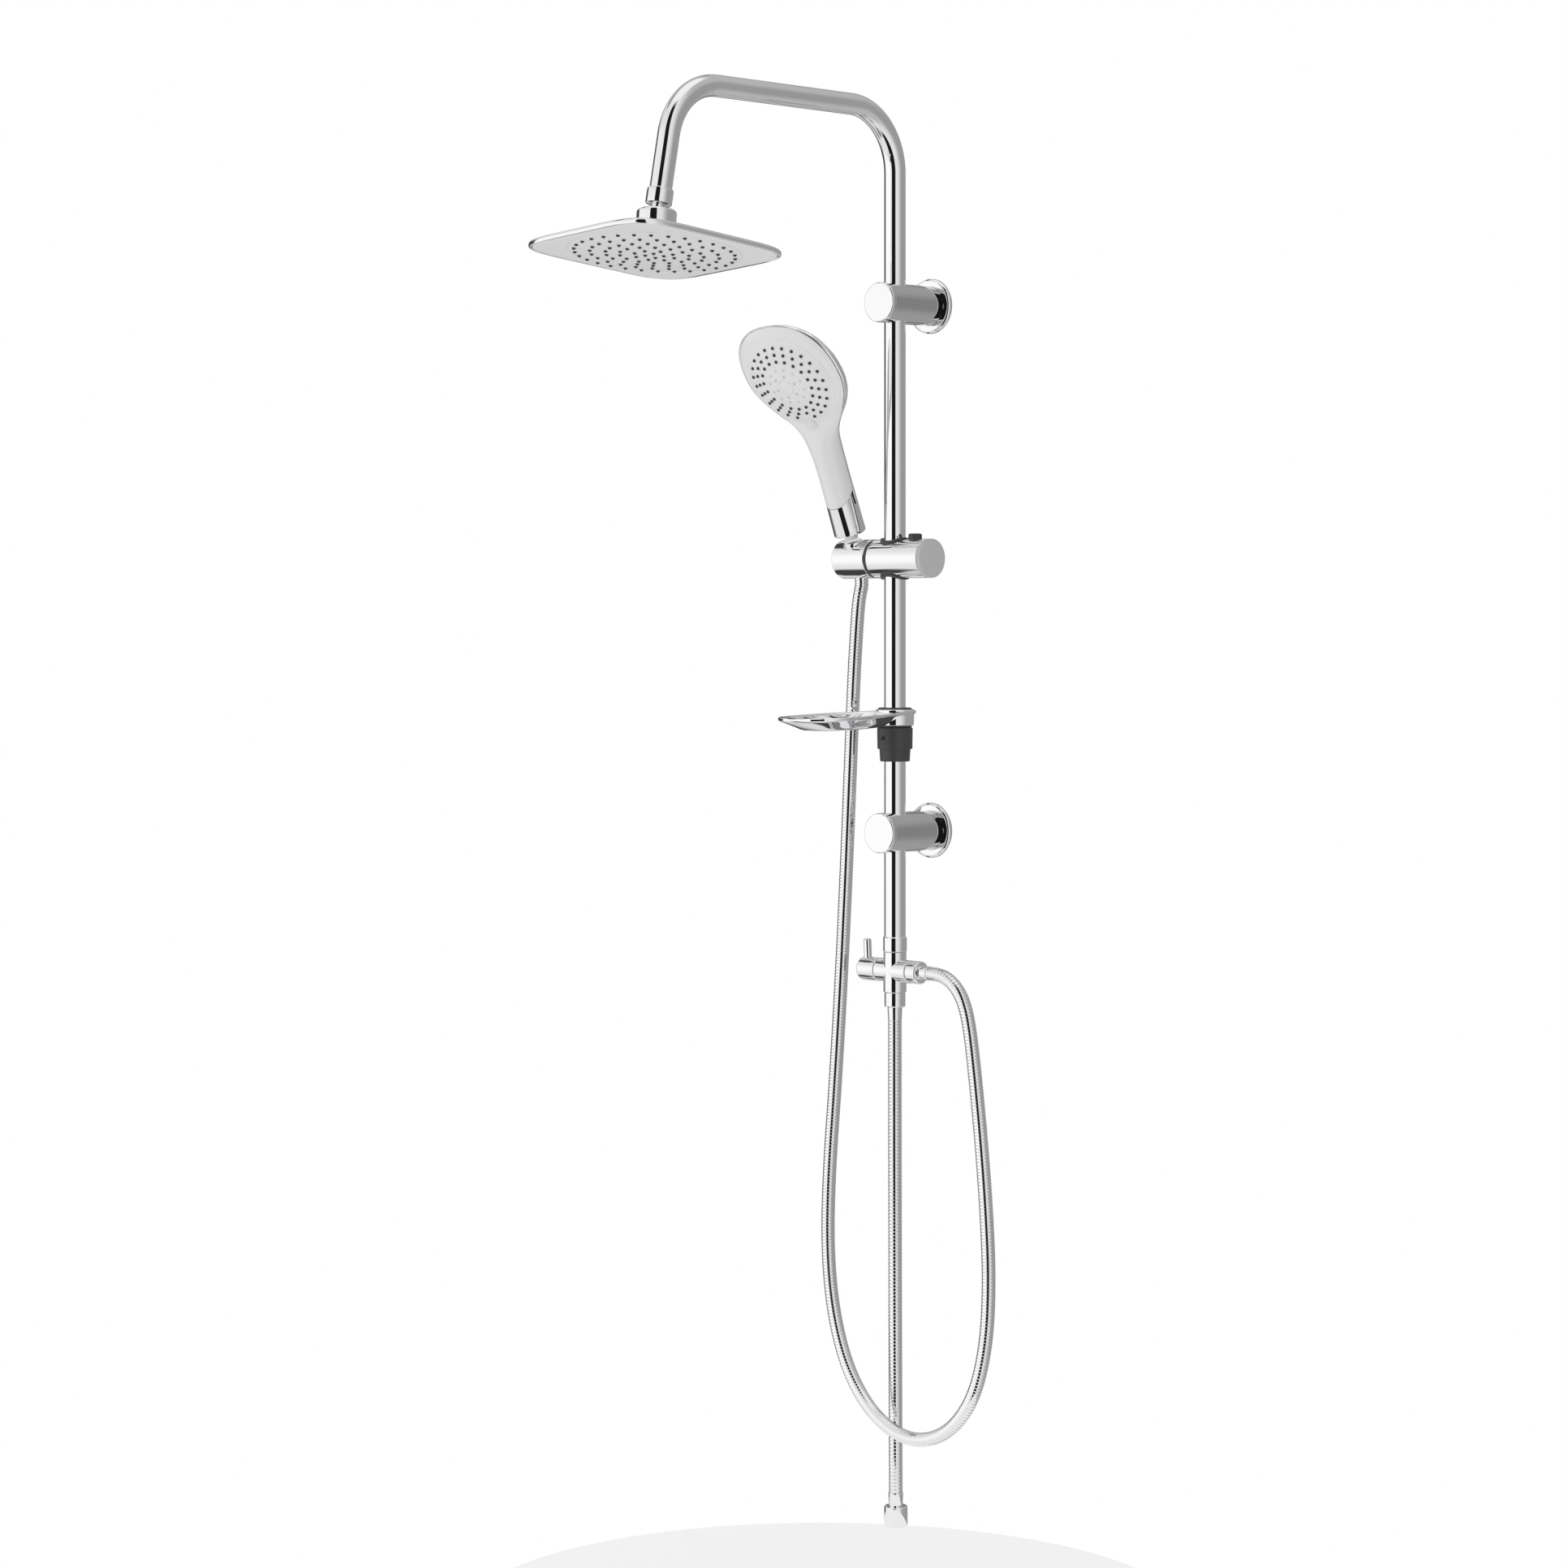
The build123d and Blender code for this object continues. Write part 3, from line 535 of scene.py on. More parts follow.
turned(
    "slider_button_skin", [(0, 13), (7, 13), (7, 24.4), (5.6, 25.6), (3, 25.3), (0, 25.2)],
    SLIDER + np.array([28, 0, 0]) * MM, (0, 0, 1), DARK, "lock_button", "dark_plastic",
    ("slider_button",), soft=0.8,
)


def holder_barrel():
    """Holder barrel with an open mouth that runs round its wall side from the top to the foot.

    Left and right of the mouth each ring is a whole circle; across the mouth the angle runs only
    from the foot's edge to the top's edge, which follow the round of the socket.
    """
    across = np.linspace(-MOUTH_HALF, MOUTH_HALF, 41)
    round_off = np.sqrt(MOUTH_HALF ** 2 - across ** 2)
    top = MOUTH_TOP - np.arcsin(round_off / BARREL_R)
    foot = MOUTH_FOOT + np.arcsin(round_off * 0.85 / BARREL_R)
    share = np.linspace(0, 1, 61)
    front = foot[:, None] + (top - foot)[:, None] * share
    around = np.concatenate([front[0], np.linspace(front[0, -1], front[0, 0] + 2 * np.pi, 80)[1:-1]])

    def placed(radius, x, angle):
        radius, x, angle = np.broadcast_arrays(radius, x, angle)
        return SLIDER + np.stack([x, -radius * np.cos(angle), radius * np.sin(angle)], -1) * MM

    left = rounded([(0, -71.5), (19.2, -71.5), (BARREL_R, -70.7), (BARREL_R, MOUTH_X - MOUTH_HALF)], 0.3)
    right = np.array([
        (BARREL_R, MOUTH_X + MOUTH_HALF), (BARREL_R, -30), (BARREL_R, -27.5), (19.7, -27.2), (4, -27.2),
    ])
    parts = [
        (placed(BARREL_R, MOUTH_X + across[:, None], front), False),
        (placed(left[:, 0, None], left[:, 1, None], around), True),
        (placed(right[:, 0, None], right[:, 1, None], around), True),
    ]
    points, faces, count = [], [], 0
    for part, wrap in parts:
        points.append(part.reshape(-1, 3))
        faces.append(quads(part.shape[0], part.shape[1], wrap) + count)
        count += part.shape[0] * part.shape[1]
    made = finish_mesh(
        "holder_barrel_skin", np.concatenate(points), np.concatenate(faces), CHROME, None, "chrome",
        ("holder_barrel", "holder_liner"), crease=40,
    )
    wall = made.modifiers.new("wall", "SOLIDIFY")
    wall.thickness = 1.8 * MM
    wall.offset = -1.0
    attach(made, "holder")


holder_barrel()

# ------------------------------------------------------------------ hand shower
HAND_ORIGIN = column(MOUTH_X, -3, -262)
SOCKET_TURN = turn_matrix(21.8)
HAND_TURN = SOCKET_TURN @ turn_matrix(0, 0, 5.0)
SOCKET_UP = SOCKET_TURN @ np.array([0.0, 0.0, 1.0])
FACE_LEAN = math.radians(15.7)
FACE_OUT = np.array([0.0, -math.cos(FACE_LEAN), -math.sin(FACE_LEAN)])
FACE_UP = np.array([0.0, -math.sin(FACE_LEAN), math.cos(FACE_LEAN)])
APEX = np.array([0.0, -37.4, 201.3])
RIM_DEPTH = 17.0
DOME_R = 126.0
HEAD_R = 61.0
HEAD_RISE = 1.5            # centre of the round outline above the centre of the spray face
NECK_U = -78.0
FOOT_U = -187.0


def hand_point(points):
    """Millimetre points of the hand shower's own frame, placed in the row frame."""
    return HAND_ORIGIN + (np.asarray(points, float) * MM) @ HAND_TURN.T


def face_point(x, u, height):
    """Point over the rim plane of the face: across, up the face, and out of it."""
    centre = APEX - RIM_DEPTH * FACE_OUT
    parts = np.broadcast_arrays(x, u, height)
    x, u, height = (np.asarray(part, float)[..., None] for part in parts)
    return centre + x * np.array([1.0, 0, 0]) + u * FACE_UP + height * FACE_OUT


def soft_max(a, b, ease):
    """Larger of two values, with a rounded change-over."""
    return 0.5 * (a + b + np.sqrt((a - b) ** 2 + ease * ease))


def cap_height(radius):
    """Height of the ball-shaped spray face over the rim plane."""
    return RIM_DEPTH - (DOME_R - np.sqrt(DOME_R ** 2 - radius ** 2))


def spine(u):
    """Centre line: straight handle, easing into the rim plane of the head."""
    past = u - NECK_U
    swing = 0.5 * (past + np.sqrt(past * past + 400.0))
    centre = APEX - RIM_DEPTH * FACE_OUT
    z = centre[2] + u * math.cos(FACE_LEAN)
    y = centre[1] - NECK_U * math.sin(FACE_LEAN) - swing * math.sin(FACE_LEAN)
    return y, z


def eased(x, table):
    """Smooth curve through the table's points: cubic pieces with slopes taken from the neighbours."""
    table = np.asarray(table, float)
    known, value = table[:, 0], table[:, 1]
    slope = np.gradient(value, known)
    place = np.clip(np.searchsorted(known, x) - 1, 0, len(known) - 2)
    span = known[place + 1] - known[place]
    t = np.clip((x - known[place]) / span, 0, 1)
    rise = (2 * t - 3) * t * t
    return (
        (1 + rise) * value[place] - rise * value[place + 1]
        + span * t * (1 - t) * ((1 - t) * slope[place] - t * slope[place + 1])
    )


HAND_HALF_WIDTH = (
    (-190, 16.7), (-150, 15.9), (-118, 15.5), (-100, 15.9), (-88, 16.7), (-78, 18.4), (-69, 22.0),
    (-60, 27.4), (-51, 34.2), (-42, 42.0), (-33, 48.8), (-24, 54.4), (-14, 58.5), (-4, 60.7), (2, 61.0),
)


def hand_widths(u, grow=0.0):
    """Half width, front depth and back depth of the section at u along the spine."""
    inside = np.clip(1 - ((u - HEAD_RISE) / (HEAD_R + grow)) ** 2, 0, 1)
    headward = np.clip((u + 70) / 30, 0, 1)
    table = eased(np.minimum(u, 1.99), HAND_HALF_WIDTH) + grow * headward
    full = np.clip(1 - (np.abs(u - HEAD_RISE) / (HEAD_R + grow)) ** 2.3, 0, 1) ** (1 / 2.3)
    wide = np.where(u > HEAD_RISE, (HEAD_R + grow) * full, table)
    front_neck = np.clip(16.4 - 0.37 * (u - NECK_U), 0, 16.4)
    back_neck = np.clip(16.8 - 0.10 * (u - NECK_U), 0, 16.8)
    top = np.clip((u - 20) / 30, 0, 1)
    front = soft_max(RIM_DEPTH * inside ** 0.8, front_neck * (1 - top), 2.5 * (1 - top) + 1e-6)
    back = soft_max(13.0 * inside ** 0.4, back_neck * (1 - top), 5.0 * (1 - top) + 1e-6)
    return wide, front, back


def hand_surface(u, angle, grow=0.0):
    """Skin of the hand shower at u along the spine and an angle round the section.

    Across = width * cos; out = depth * sin^q, where q goes from 1 on the handle to 1.5 on the head.
    """
    u, angle = np.broadcast_arrays(u, angle)
    wide, front, back = hand_widths(u, grow)
    headward = np.clip((u + 85) / 45, 0, 1)
    power = 1 + 0.5 * headward
    lift = np.abs(np.sin(angle)) ** power
    x = wide * np.cos(angle)
    belly = 1 - 0.42 * np.clip((u + 75) / 40, 0, 1)
    out = np.where(np.sin(angle) >= 0, front * lift, -back * np.abs(np.sin(angle)) ** belly)
    radius = np.sqrt(x ** 2 + u ** 2)
    cap = cap_height(np.minimum(radius, 62.0))
    on_face = (np.sin(angle) >= 0) & (u > -75)
    near = 1 - np.clip((radius - 51.0) / 8.0, 0, 1)
    near = near * near * (3 - 2 * near)
    matched = out + (cap - 0.5 - out) * near
    matched = np.where(radius < 50.3, cap - 2.2, matched)
    out = np.where(on_face & (radius < 59.0), matched, out)
    y, z = spine(u)
    lean = FACE_LEAN * np.clip((u + 95) / 34, 0, 1)
    lean = np.where(u > -61, FACE_LEAN, lean)
    points = np.stack([x, y - out * np.cos(lean), z - out * np.sin(lean)], -1)
    return points


def seam_angle(u):
    """Angle at which the white front meets the chrome back: past the side on the handle, in on the head."""
    share = np.clip((u + 90) / 60, 0, 1)
    share = share * share * (3 - 2 * share)
    return np.radians(-17 + 29 * share)


def slant_u(angle):
    """Lower edge of the white front: a slanting cut, higher at the back."""
    return -150.5 + 12.0 * (1 - np.sin(np.clip(angle, -0.3, math.pi + 0.3))) ** 1.2


def hand_skin(name, low_turn, high_turn, foot, rows, columns, skin, slot, stands_for, grow=0.0):
    """Part of the skin between two seam angles, from its foot to the top, with a wall behind it.

    u = foot + (top - foot) * sin(pi t / 2), so rows crowd where the head closes; the angle runs evenly
    from one seam to the other.
    """
    t = np.linspace(0, 1, rows)[:, None]
    share = np.linspace(0, 1, columns)[None, :]
    top_u = HEAD_R + HEAD_RISE + grow
    middle = (low_turn(NECK_U) + (high_turn(NECK_U) - low_turn(NECK_U)) * share)
    start = foot(middle)
    u = start + (top_u - start) * np.sin(t * math.pi / 2)
    u = np.minimum(u, top_u - 1e-3)
    angle = low_turn(u) + (high_turn(u) - low_turn(u)) * share
    points = hand_point(hand_surface(u, angle, grow))
    made = finish_mesh(name, points, quads(rows, columns, False), skin, None, slot, stands_for, crease=60)
    wall = made.modifiers.new("wall", "SOLIDIFY")
    wall.thickness = 1.6 * MM
    wall.offset = -1.0
    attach(made, "hand_shower")


hand_skin(
    "hand_front_skin", seam_angle, lambda u: math.pi - seam_angle(u), slant_u, 260, 220, WHITE,
    "white_plastic", ("hand_front_shell",),
)
hand_skin(
    "hand_back_skin", lambda u: math.pi - seam_angle(u), lambda u: 2 * math.pi + seam_angle(u),
    lambda angle: np.full_like(angle, -152.0), 200, 140, CHROME, "chrome", ("hand_back_shell",), grow=0.9,
)


def base_sleeve():
    """Chrome base of the handle: the handle's own oval, closed below by rings that shrink to its middle."""
    angle = np.linspace(0, 2 * np.pi, 160, endpoint=False)[None, :]
    top = np.where(np.sin(angle) >= 0, slant_u(angle) - 0.35, -152.0)
    t = np.linspace(0, 1, 12)[:, None]
    low = FOOT_U + 4.2
    u = low + (top - low) * t
    wall = hand_surface(u, angle)
    foot_ring = wall[0]
    middle = foot_ring.mean(0)
    foot = []
    for inset, drop in ((0.0, 0.0), (0.012, 0.55), (0.05, 1.1), (0.12, 1.35), (0.4, 1.4), (1.0, 1.4)):
        ring = middle + (foot_ring - middle) * (1 - inset)
        foot.append(ring - np.array([0, 0, drop]))
    inner = wall[-1] * np.array([0.93, 1, 1])
    points = np.concatenate([np.array(foot[::-1]), wall, inner[None]])
    points = hand_point(points)
    finish_mesh(
        "hand_base_skin", points, quads(points.shape[0], points.shape[1]), CHROME, "hand_shower",
        "chrome", (), crease=40,
    )


base_sleeve()
turned(
    "cone_nut_skin", [(5.2, -6), (8.6, -6), (9.9, 18.8), (9.3, 20), (0, 20)],
    HAND_ORIGIN, SOCKET_UP, CHROME, "hand_shower", "chrome", ("hose_cone_nut",), soft=0.5,
)
turned(
    "hose_top_ferrule", [(5.0, -19), (6.6, -19), (7.4, -17), (7.4, -6), (5.0, -6)],
    HAND_ORIGIN, SOCKET_UP, CHROME, "hand_shower", "chrome", (), soft=0.4,
)


def face_disc(name, inner, outer, proud, stands_for, edge, thick=1.8):
    """Ring of the ball-shaped spray face: height = ball cap + how far it stands proud, eased at its edges."""
    line = np.array([(inner, -thick), (inner, proud - edge), (inner + edge, proud)])
    steps = np.linspace(inner + 0.4, outer - 0.4, 24)
    line = np.concatenate([line, np.stack([steps, np.full(24, proud)], -1)])
    line = np.concatenate([line, [(outer - edge, proud), (outer, proud - edge), (outer, -thick)]])
    angle = np.linspace(0, 2 * np.pi, 160, endpoint=False)
    radius, height = line[:, 0, None], line[:, 1, None] + cap_height(line[:, 0, None])
    points = hand_point(face_point(radius * np.cos(angle), radius * np.sin(angle), height))
    finish_mesh(
        name, points, quads(len(line), 160), WHITE, "selector", "white_plastic", (stands_for,), crease=50
    )


for name, inner, outer, proud, gone, edge in (
    ("selector_ring_skin", 46.12, 50.8, 0.12, "hand_selector_ring", 0.06),
    ("spray_face_skin", 8.25, 46.1, 0.12, "hand_spray_plate", 0.06),
    ("centre_disc_skin", 0.0, 8.1, 0.35, "hand_centre_disc", 0.2),
):
    face_disc(name, inner, outer, proud, gone, edge)


def stud_field(places, lift, radius, tip, height, frame_at):
    """Many small eased cones: each (place, outward) carries one profile of a few rings."""
    sides = 12
    profile = np.array([
        (radius, -0.6), (radius, 0.35 * height), (tip * 1.02, 0.8 * height), (tip * 0.8, height),
    ])
    angle = np.linspace(0, 2 * np.pi, sides, endpoint=False)
    shape = np.concatenate([
        np.stack([profile[:, 0, None] * np.cos(angle), profile[:, 0, None] * np.sin(angle),
                  np.broadcast_to(profile[:, 1, None], (4, sides))], -1),
        np.broadcast_to(np.array([0, 0, height * 0.93]), (1, sides, 3)),
    ])
    faces = quads(5, sides)
    all_points, all_faces = [], []
    for count, (place, first, second, out) in enumerate(frame_at(places)):
        basis = np.stack([first, second, out])
        all_points.append((shape.reshape(-1, 3) @ basis) + place + out * lift)
        all_faces.append(faces + count * shape.shape[0] * sides)
    return np.concatenate(all_points), np.concatenate(all_faces)


def face_frames(places):
    """Place and axes of each nozzle on the ball-shaped spray face."""
    side = np.array([1.0, 0.0, 0.0])
    for radius, turn in places:
        x, u = radius * math.cos(turn), radius * math.sin(turn)
        place = face_point(x, u, cap_height(radius))
        out = unit(FACE_OUT * math.sqrt(DOME_R ** 2 - radius ** 2) + side * x + FACE_UP * u)
        first = unit(FACE_UP - (FACE_UP @ out) * out)
        yield place, first, np.cross(out, first), out


def hand_nozzles():
    """Three outer rings of dark studs, a ring of pale ones, and a ring with dark pinholes: each pinhole is a
    small dark disc on a pale tip, painted shade standing for the hole.
    """
    dark = []
    for radius, count in ((43.0, 24), (36.0, 21), (29.0, 18)):
        for turn in range(count):
            angle = 2 * math.pi * turn / count + math.pi / 2
            low = abs((angle + math.pi / 2 + math.pi) % (2 * math.pi) - math.pi)
            if radius == 43.0 and low < 0.1:
                continue
            dark.append((radius, angle))
    pale = [(20.0, 2 * math.pi * (turn + 0.5) / 12) for turn in range(12)]
    pale += [(12.5, 2 * math.pi * (turn + 0.25) / 6) for turn in range(6)]
    # the inner six pale nozzles get painted hole shade: a small dark disc on each tip
    pinhole_shade_places = pale[12:]
    for name, places, lift, radius, tip, height, skin, slot, gone in (
        ("hand_dark_nozzles", dark, 0.1, 1.75, 1.25, 1.7, NOZZLE, "nozzle_rubber", ("hand_nozzle_mat",)),
        ("hand_pale_nozzles", pale, 0.1, 1.5, 1.2, 0.9, PALE, "white_plastic", ()),
        # painted shade of the pinholes: small dark discs in the nozzle rubber's colour, lifted onto the pale
        # tips
        ("hand_pinhole_painted_shade", pinhole_shade_places, 0.85, 0.5, 0.45, 0.18, NOZZLE, "nozzle_rubber", ()),
    ):
        points, faces = stud_field(places, lift, radius, tip, height, face_frames)
        finish_mesh(name, hand_point(points), faces, skin, "selector", slot, gone, crease=40)


hand_nozzles()


def head_frames(places):
    """Place and axes of each nozzle under the rose."""
    for radius, turn in places:
        place = np.array([radius * math.cos(turn), radius * math.sin(turn), head_face(radius)])
        yield place, np.array([1.0, 0, 0]), np.array([0, -1.0, 0]), np.array([0, 0, -1.0])


def head_nozzles():
    """Six rings of dark rubber studs under the rose, each ring evenly spaced in angle."""
    places = []
    for radius, count in ((78.0, 30), (62.5, 24), (47.5, 19), (34.0, 14), (20.0, 8), (9.0, 4)):
        places += [(radius, 2 * math.pi * (turn + 0.5) / count) for turn in range(count)]
    points, faces = stud_field(places, 0.0, 1.95, 1.5, 1.6, head_frames)
    finish_mesh(
        "head_nozzle_studs", head_point(points), faces, NOZZLE, "overhead", "nozzle_rubber",
        ("head_nozzle_mat",), crease=45,
    )


head_nozzles()


def selector_tab():
    """Pointed tab at the foot of the face: half a cone of leaf plan, highest near its outer end.

    Height = ridge(t) * (1 - |s|^1.6), half width = 7 * sin-shaped leaf.
    """
    t = np.linspace(0, 1, 40)[:, None]
    s = np.linspace(-1, 1, 25)[None, :]
    reach = 41.0 + 17.5 * t
    half = 0.25 + 6.6 * np.clip(t * 1.25, 0, 1) ** 1.1 * np.clip((1.02 - t) * 6, 0, 1) ** 0.5
    ridge = 5.6 * t ** 1.1 * np.clip((1.02 - t) * 4, 0, 1) ** 0.6
    x = s * half
    u = -np.broadcast_to(reach, x.shape)
    wide, front, back = hand_widths(u)
    shell = front * np.clip(1 - (x / wide) ** 2, 0, 1) ** 0.75
    base = np.maximum(cap_height(np.minimum(np.sqrt(x ** 2 + u ** 2), 51.0)), shell) - 0.2
    top = base + ridge * (1 - np.abs(s) ** 1.6) + 0.3
    under = np.broadcast_to(base - 1.5, top.shape)
    upper, lower = face_point(x, u, top), face_point(x, u, under)
    rows, columns = x.shape
    loop = np.concatenate([upper, lower[:, ::-1]], axis=1)
    loop = np.concatenate([loop[:1].mean(1, keepdims=True).repeat(2 * columns, 1), loop,
                           loop[-1:].mean(1, keepdims=True).repeat(2 * columns, 1)])
    points = hand_point(loop)
    finish_mesh("selector_tab", points, quads(rows + 2, 2 * columns), WHITE, "selector", "white_plastic", ())


selector_tab()

# ------------------------------------------------------------------ soap dish
DISH_Z = -418.0
DISH_TURN = turn_matrix(2.0)
DISH_HALF_OUTLINE = (
    (0, -151.5), (20, -148), (35.5, -135.5), (43.5, -116), (44.9, -92), (41.9, -62), (34, -34),
    (25, -10), (18.5, 11), (9.8, 18.4), (0, 20.4),
)


def closed_curve(corners, count):
    """Smooth closed curve through corners: cubic pieces whose slopes come from the neighbours."""
    corners = np.asarray(corners, float)
    slope = (np.roll(corners, -1, 0) - np.roll(corners, 1, 0)) * 0.5
    place = np.arange(count) * len(corners) / count
    here = place.astype(int)
    there = (here + 1) % len(corners)
    t = (place - here)[:, None]
    rise = (2 * t - 3) * t * t
    ease = t * (1 - t)
    return (
        (1 + rise) * corners[here] - rise * corners[there]
        + ease * ((1 - t) * slope[here] - t * slope[there])
    )


def dish_tray():
    """Shallow tray: the outline pulled in as it goes down, over the lip and up again inside.

    A point = outline - inset * outward normal; the floor runs on to the tray's middle line, and the
    depth grows from the tail at the riser to the full dish in front.
    """
    half = np.array(DISH_HALF_OUTLINE, float)
    outline = closed_curve(np.concatenate([half, (half * (-1, 1))[-2:0:-1]]), 240)
    way = np.roll(outline, -1, 0) - np.roll(outline, 1, 0)
    normal = np.stack([way[:, 1], -way[:, 0]], -1)
    normal /= -np.linalg.norm(normal, axis=1)[:, None]
    normal *= np.sign((normal * (outline - (0, -70))).sum(1, keepdims=True))
    line = np.array([
        (1.0, -12.4), (0.5, -12.4), (0.0, -12.2), (-12.5, -10.9), (-9.0, -7.4), (-5.0, -2.6), (-3.4, -0.5),
        (-2.4, 0.0), (-0.8, 0.0), (0.0, -0.7), (0.0, -2.6), (-0.9, -3.4), (-3.2, -4.6), (-8.0, -9.6),
        (-12.5, -12.9), (0.0, -14.0), (0.5, -14.0), (1.0, -14.0),
    ])
    inset = np.where(line[:, 0] < 0, -line[:, 0], 0.0)
    inset[[2, -3]] = 15.0
    floor = np.where(line[:, 0] > 0, line[:, 0], 0.0)
    inset[[0, 1, -2, -1]] = 15.0
    gentle = 1 + 1.1 * np.clip((-outline[:, 1] - 98.0) / 50.0, 0, 1)
    gentle = np.where(inset[:, None] > 3.5, gentle[None], 1.0)
    ring = outline[None] - (inset[:, None] * gentle)[..., None] * normal[None]
    middle = np.stack([np.zeros(240), np.clip(outline[:, 1], -118, -12)], -1)
    ring = ring + floor[:, None, None] * (middle - ring)
    deep = np.clip((-ring[..., 1] - 2.0) / 46.0, 0, 1)
    deep = 0.30 + 0.70 * deep * deep * (3 - 2 * deep)
    height = np.where(line[:, 1, None] < -3.5, -3.5 + (line[:, 1, None] + 3.5) * deep, line[:, 1, None])
    points = np.concatenate([ring, height[..., None]], -1) @ DISH_TURN.T
    points = (points + np.array([0, RISER_Y, DISH_Z])) * MM
    finish_mesh(
        "dish_tray_skin", points, quads(len(line), 240), CHROME, "dish", "chrome", ("dish_tray",), crease=40
    )


dish_tray()
AT_DISH = column(0, 0, DISH_Z)
UP = (0.0, 0.0, 1.0)
turned(
    "dish_boss_skin", [(17.7, -15), (18.9, -15), (19.4, -14.4), (19.8, 0.2), (19.0, 1.4), (17.7, 1.4)],
    AT_DISH, UP, CHROME, "dish", "chrome", (), soft=1.2,
)
turned(
    "dish_bush_skin", [(11.2, -17), (17.4, -17), (17.5, 2.2), (16.4, 3.2), (11.2, 3.2)],
    AT_DISH, UP, DARK, "dish_slide", "dark_plastic", ("dish_bush",), soft=0.8,
)
turned(
    "dish_clamp_skin",
    [(11.2, -470), (14.8, -470), (15.3, -469.4), (15.9, -458.2), (16.2, -457.4), (17.7, -457.2),
     (18.0, -456.6), (18.35, -436.2), (17.6, -435.2), (11.2, -435.2)],
    column(0, 0, 0), UP, DARK, "dish_slide", "dark_plastic", ("dish_clamp",), soft=0.7,
)

# ------------------------------------------------------------------ diverter
CROSS = column(0, 0, -685)
turned(
    "diverter_body_skin",
    [(0, -707), (11.2, -707), (11.75, -706.4), (11.75, -666), (11.2, -665.4), (0, -665.4)],
    column(0, 0, 0), UP, CHROME, "root", "chrome", ("diverter_body",), soft=0.4,
)
turned(
    "diverter_cross_skin", [(0, -20), (11.4, -20), (11.8, -19.6), (11.8, 22.3), (11.4, 22.7), (0, 22.7)],
    CROSS, ACROSS, CHROME, "root", "chrome", (), soft=0.3,
)
turned(
    "diverter_top_nut_skin",
    [(11, -665.2), (11.9, -665.2), (12.25, -664.6), (12.25, -651.2), (11.3, -650), (11, -650)],
    column(0, 0, 0), UP, CHROME, "root", "chrome", ("diverter_top_nut",), soft=0.5,
)
turned(
    "diverter_knob_skin", [(0, -44.5), (10.4, -44.5), (12, -43), (12, -20.9), (11.6, -20.4), (0, -20.4)],
    CROSS, ACROSS, CHROME, "diverter_handle", "chrome", ("diverter_knob",), soft=1.0,
)
turned(
    "diverter_lever_skin", [(0, 5), (4, 5), (4, 29.8), (3.2, 30.8), (0, 31)],
    CROSS + np.array([-37, 0, 0]) * MM, (-0.05, 0, 1), CHROME, "diverter_handle", "chrome",
    ("diverter_lever",), soft=1.2,
)
turned(
    "outlet_nut_skin", [(7.2, 23.1), (11.0, 23.1), (11.6, 23.7), (11.6, 35.8), (10.4, 37), (7.2, 37)],
    CROSS, ACROSS, CHROME, "root", "chrome", ("outlet_nut",), soft=0.7,
)
turned(
    "outlet_ferrule_skin", [(4.5, 30), (7, 30), (7, 37), (7.6, 37.6), (7.3, 47.6), (6.8, 48), (4.5, 48)],
    CROSS, ACROSS, CHROME, "root", "chrome", ("outlet_ferrule",), soft=0.4,
)
turned(
    "supply_nut_skin",
    [(7.2, -722), (9.9, -722), (10.75, -720.9), (10.75, -707.7), (10.3, -707.2), (7.2, -707.2)],
    column(0, 0, 0), UP, CHROME, "root", "chrome", ("supply_nut",), soft=0.7,
)
turned(
    "supply_ferrule_skin", [(4.5, -736), (7, -736), (7.6, -723), (7, -722), (7, -712), (4.5, -712)],
    column(0, 0, 0), UP, CHROME, "root", "chrome", ("supply_ferrule",), soft=0.4,
)

# ------------------------------------------------------------------ hoses
HOSE_R = 7.0
SUPPLY_ROUTE = (
    (0, 0, -736), (0, 0, -850), (-0.8, 1.2, -980), (-2.4, 3.4, -1110), (-4.6, 6.4, -1222),
)
SHOWER_ROUTE = (
    (48, 0, -685), (61, 0, -685), (75, 0, -690), (87, -0.5, -699.5), (95.5, -1, -712),
    (103, -2, -732), (111, -4, -770), (123.5, -8, -838), (134.5, -12, -910), (142.5, -16, -985),
    (141.5, -20, -1052), (127, -24, -1108), (93, -27, -1146), (46, -28.5, -1158),
    (-4, -27, -1140), (-44, -23, -1100), (-69.5, -18, -1045), (-83, -13, -980),
    (-85.5, -8, -900), (-80.5, -4, -810), (-75, -1, -705), (-69.5, 1, -590),
    (-64, 1.5, -480), (-58.5, 1, -385), (-54, 0.8, -330), (-51, 0.8, -302),
    (-50, 5.9129, -284.2836), (-50, -0.7718, -267.5709),
)


def route_line(name, route):
    """Points read from the NURBS spline whose control points are the route."""
    curve = bpy.data.curves.new(name, "CURVE")
    curve.dimensions = "3D"
    spline = curve.splines.new("NURBS")
    spline.points.add(len(route) - 1)
    for place, spot in zip(spline.points, route):
        place.co = (*column(*spot), 1.0)
    spline.order_u = 3
    spline.use_endpoint_u = True
    spline.resolution_u = 40
    holder = bpy.data.objects.new(name, curve)
    bpy.context.scene.collection.objects.link(holder)
    mesh = bpy.data.meshes.new_from_object(holder)
    points = np.array([corner.co for corner in mesh.vertices], float)
    bpy.data.objects.remove(holder)
    bpy.data.meshes.remove(mesh)
    bpy.data.curves.remove(curve)
    return points


def even_points(line, count):
    """Points at equal steps along a line, and its length."""
    step = np.linalg.norm(np.diff(line, axis=0), axis=1)
    along = np.r_[0, np.cumsum(step)]
    wanted = np.linspace(0, along[-1], count)
    return np.stack([np.interp(wanted, along, line[:, axis]) for axis in range(3)], -1), along[-1]


